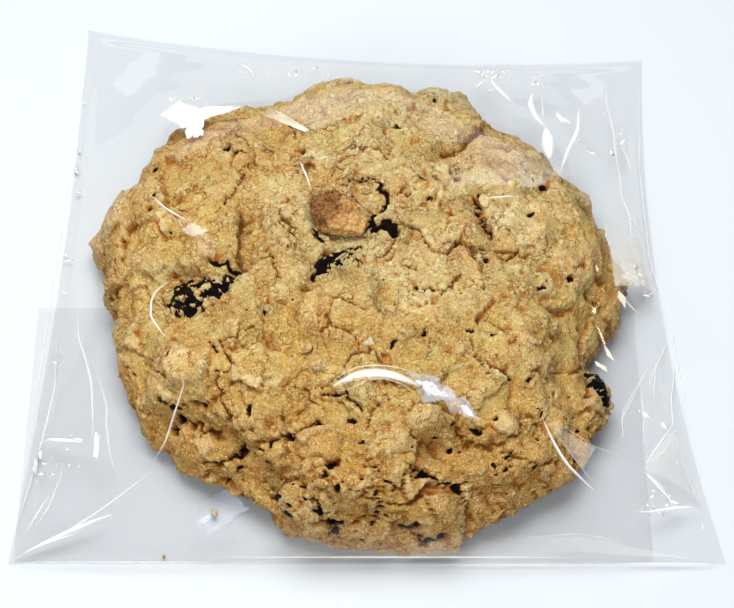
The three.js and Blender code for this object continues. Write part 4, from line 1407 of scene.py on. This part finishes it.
class COOKIE_OT_facets(bpy.types.Operator):
    """Scatters small facets where the film is crushed, painted near white as glints"""

    bl_idname = "cookie.facets"
    bl_label = "Crush the film"

    def execute(self, context):
        random = np.random.default_rng(77)
        spots = np.concatenate([
            np.array(middle) + (random.random((count, 2)) * 2 - 1) * reach
            for middle, reach, count in CRUSHED_GLINTS
        ])
        places = np.c_[spots, heights_under([film_tree()], spots, MM) + FACET_GAP]
        places = places[places[:, 2] > 0.3]
        sizes = 0.12 + 0.38 * random.random(len(places)) ** 2
        up = np.tile((0.0, 0.0, 1.0), (len(places), 1))
        bm, _ = scattered(2, places, up, sizes, random, 0.5, facet_shape)
        creased = bpy.data.objects["film_folds"].data.materials[0]
        piece = new_piece("film_glint_facets", bm, creased)
        # Painted glints: every facet is near white all over.
        store(piece, "white", np.full(len(piece.data.vertices), 0.9))
        store(piece, "warm", np.full(len(piece.data.vertices), 0.5))
        return {"FINISHED"}


class COOKIE_OT_tuck(bpy.types.Operator):
    """Lays the bag's tucked panel beneath it"""

    bl_idname = "cookie.tuck"
    bl_label = "Lay the tucked panel"

    def execute(self, context):
        bm = bmesh.new()
        bmesh.ops.create_grid(bm, x_segments=60, y_segments=26, size=0.5 * MM)
        sheet = positions(bm) * np.array([TUCK_SIZE[0], TUCK_SIZE[1] - 2 * TUCK_ROOM, 1.0])
        sheet[:, 0] += TUCK_MIDDLE_X
        sheet[:, 1] += BAG_NEAR_Y + TUCK_SIZE[1] / 2 + TUCK_ROOM
        sheet[:, 2] = 0.15 + 0.1 * grain(sheet, 14.0, 2, 19.0)
        place(bm, sheet)
        doubled = film_material("doubled polypropylene film", "#faf9f9")
        new_piece("film_tuck", bm, doubled)
        return {"FINISHED"}


# ---- The stage ----


def soft_light(name, place_mm, aim_mm, size_mm, watts, colour):
    """A rectangular studio light, aimed at a place."""
    light = bpy.data.lights.new(name, "AREA")
    light.shape = "RECTANGLE"
    light.size, light.size_y = size_mm[0] * MM, size_mm[1] * MM
    light.energy = watts
    light.color = linear(colour)[:3]
    lamp = bpy.data.objects.new(name, light)
    back = (Vector(place_mm) - Vector(aim_mm)).normalized()
    level = Vector((0, 1, 0)).cross(back).normalized()
    turned = Matrix((level, back.cross(level), back)).transposed()
    lamp.matrix_world = Matrix.Translation(Vector(place_mm) * MM) @ turned.to_4x4()
    bpy.context.scene.collection.objects.link(lamp)
    return lamp


def floor_material():
    """Plain pale paint, matt."""
    material, tree, output = new_material("pale matt floor")
    surface = add_node(
        tree, "ShaderNodeBsdfPrincipled",
        inputs={"Base Color": linear("#ced4d9"), "Roughness": 0.8},
    )
    tree.links.new(surface.outputs["BSDF"], output.inputs["Surface"])
    return material


# Soft lights that are left out of reflections: place, aim, size, watts and colour.
SOFT_LIGHTS = {
    "overhead": ((-30, 110, 610), (0, 0, 0), (460, 380), 4.65, "#ffffff"),
    "fill": ((-60, -420, 380), (0, -20, 10), (420, 300), 1.8, "#ffffff"),
    "window": ((-400, 160, 340), (0, -10, 10), (260, 260), 0.45, "#fff6e8"),
}

# Lights that show as glints in the film, in the same order.
GLINT_LIGHTS = {
    "low_right": ((490, 190, 110), (0, -12, 15), (16, 16), 0.024, "#ffeccc"),
    "far_left": ((-277, 305, 471), (0, -12, 15), (50, 30), 0.03, "#fff4e0"),
    "far": ((0, 620, 190), (0, -12, 15), (700, 120), 0.45, "#f4f6ff"),
}

# The camera: how far it looks down, its distance from its target in millimetres, where that is
# along the table, and its focal length and picture width in pixels.
CAMERA_DOWN = math.radians(57)
CAMERA_DISTANCE = 481.0
CAMERA_TARGET_Y = -7.3
FOCAL_LENGTH = 2130
PICTURE_WIDTH = 734


class COOKIE_OT_stage(bpy.types.Operator):
    """Sets out the plain floor, the soft lights and the camera"""

    bl_idname = "cookie.stage"
    bl_label = "Set the stage"

    def execute(self, context):
        scene = context.scene
        bm = bmesh.new()
        bmesh.ops.create_grid(bm, x_segments=2, y_segments=2, size=1.5)
        bmesh.ops.translate(bm, verts=bm.verts, vec=(0, 0, -0.2 * MM))
        mesh = bpy.data.meshes.new("floor")
        bm.to_mesh(mesh)
        bm.free()
        mesh.materials.append(floor_material())
        floor = bpy.data.objects.new("floor", mesh)
        scene.collection.objects.link(floor)

        world = bpy.data.worlds.new("studio")
        world.use_nodes = True
        sky = world.node_tree.nodes["Background"]
        sky.inputs["Color"].default_value = linear("#f2f5fa")
        sky.inputs["Strength"].default_value = 0.07
        scene.world = world

        for name, settings in SOFT_LIGHTS.items():
            soft_light(name, *settings).visible_glossy = False
        for name, settings in GLINT_LIGHTS.items():
            soft_light(name, *settings)

        camera = bpy.data.objects.new("camera", bpy.data.cameras.new("camera"))
        camera.data.lens = camera.data.sensor_width * FOCAL_LENGTH / PICTURE_WIDTH
        back = Vector((0, -math.cos(CAMERA_DOWN), math.sin(CAMERA_DOWN)))
        camera.location = (Vector((0, CAMERA_TARGET_Y, 0)) + back * CAMERA_DISTANCE) * MM
        camera.rotation_euler = (math.pi / 2 - CAMERA_DOWN, 0, 0)
        scene.collection.objects.link(camera)
        scene.camera = camera
        scene.view_settings.view_transform = "Standard"
        return {"FINISHED"}


class COOKIE_PT_panel(bpy.types.Panel):
    """Lists the steps that build the cookie"""

    bl_idname = "COOKIE_PT_panel"
    bl_label = "Oatmeal raisin cookie"
    bl_space_type = "VIEW_3D"
    bl_region_type = "UI"
    bl_category = "Cookie"

    def draw(self, context):
        layout = self.layout
        for group in (context.scene.cookie_sizes, context.scene.cookie_colours):
            for name in group.__annotations__:
                layout.prop(group, name)
        for step in STEPS:
            layout.operator(step.bl_idname)


GROUPS = {"cookie_sizes": CookieSizes, "cookie_colours": CookieColours}
STEPS = (
    COOKIE_OT_stage, COOKIE_OT_dough, COOKIE_OT_crumbs, COOKIE_OT_raisins,
    COOKIE_OT_crust_piece, COOKIE_OT_bag, COOKIE_OT_folds, COOKIE_OT_glare, COOKIE_OT_facets,
    COOKIE_OT_tuck,
)


def register():
    for group in GROUPS.values():
        bpy.utils.register_class(group)
    for name, group in GROUPS.items():
        setattr(bpy.types.Scene, name, bpy.props.PointerProperty(type=group))
    for step in STEPS:
        bpy.utils.register_class(step)
    bpy.utils.register_class(COOKIE_PT_panel)


def unregister():
    bpy.utils.unregister_class(COOKIE_PT_panel)
    for step in reversed(STEPS):
        bpy.utils.unregister_class(step)
    for name, group in reversed(GROUPS.items()):
        delattr(bpy.types.Scene, name)
        bpy.utils.unregister_class(group)


def main():
    register()
    for step in STEPS:
        family, action = step.bl_idname.split(".")
        getattr(getattr(bpy.ops, family), action)()


if __name__ == "__main__":
    main()
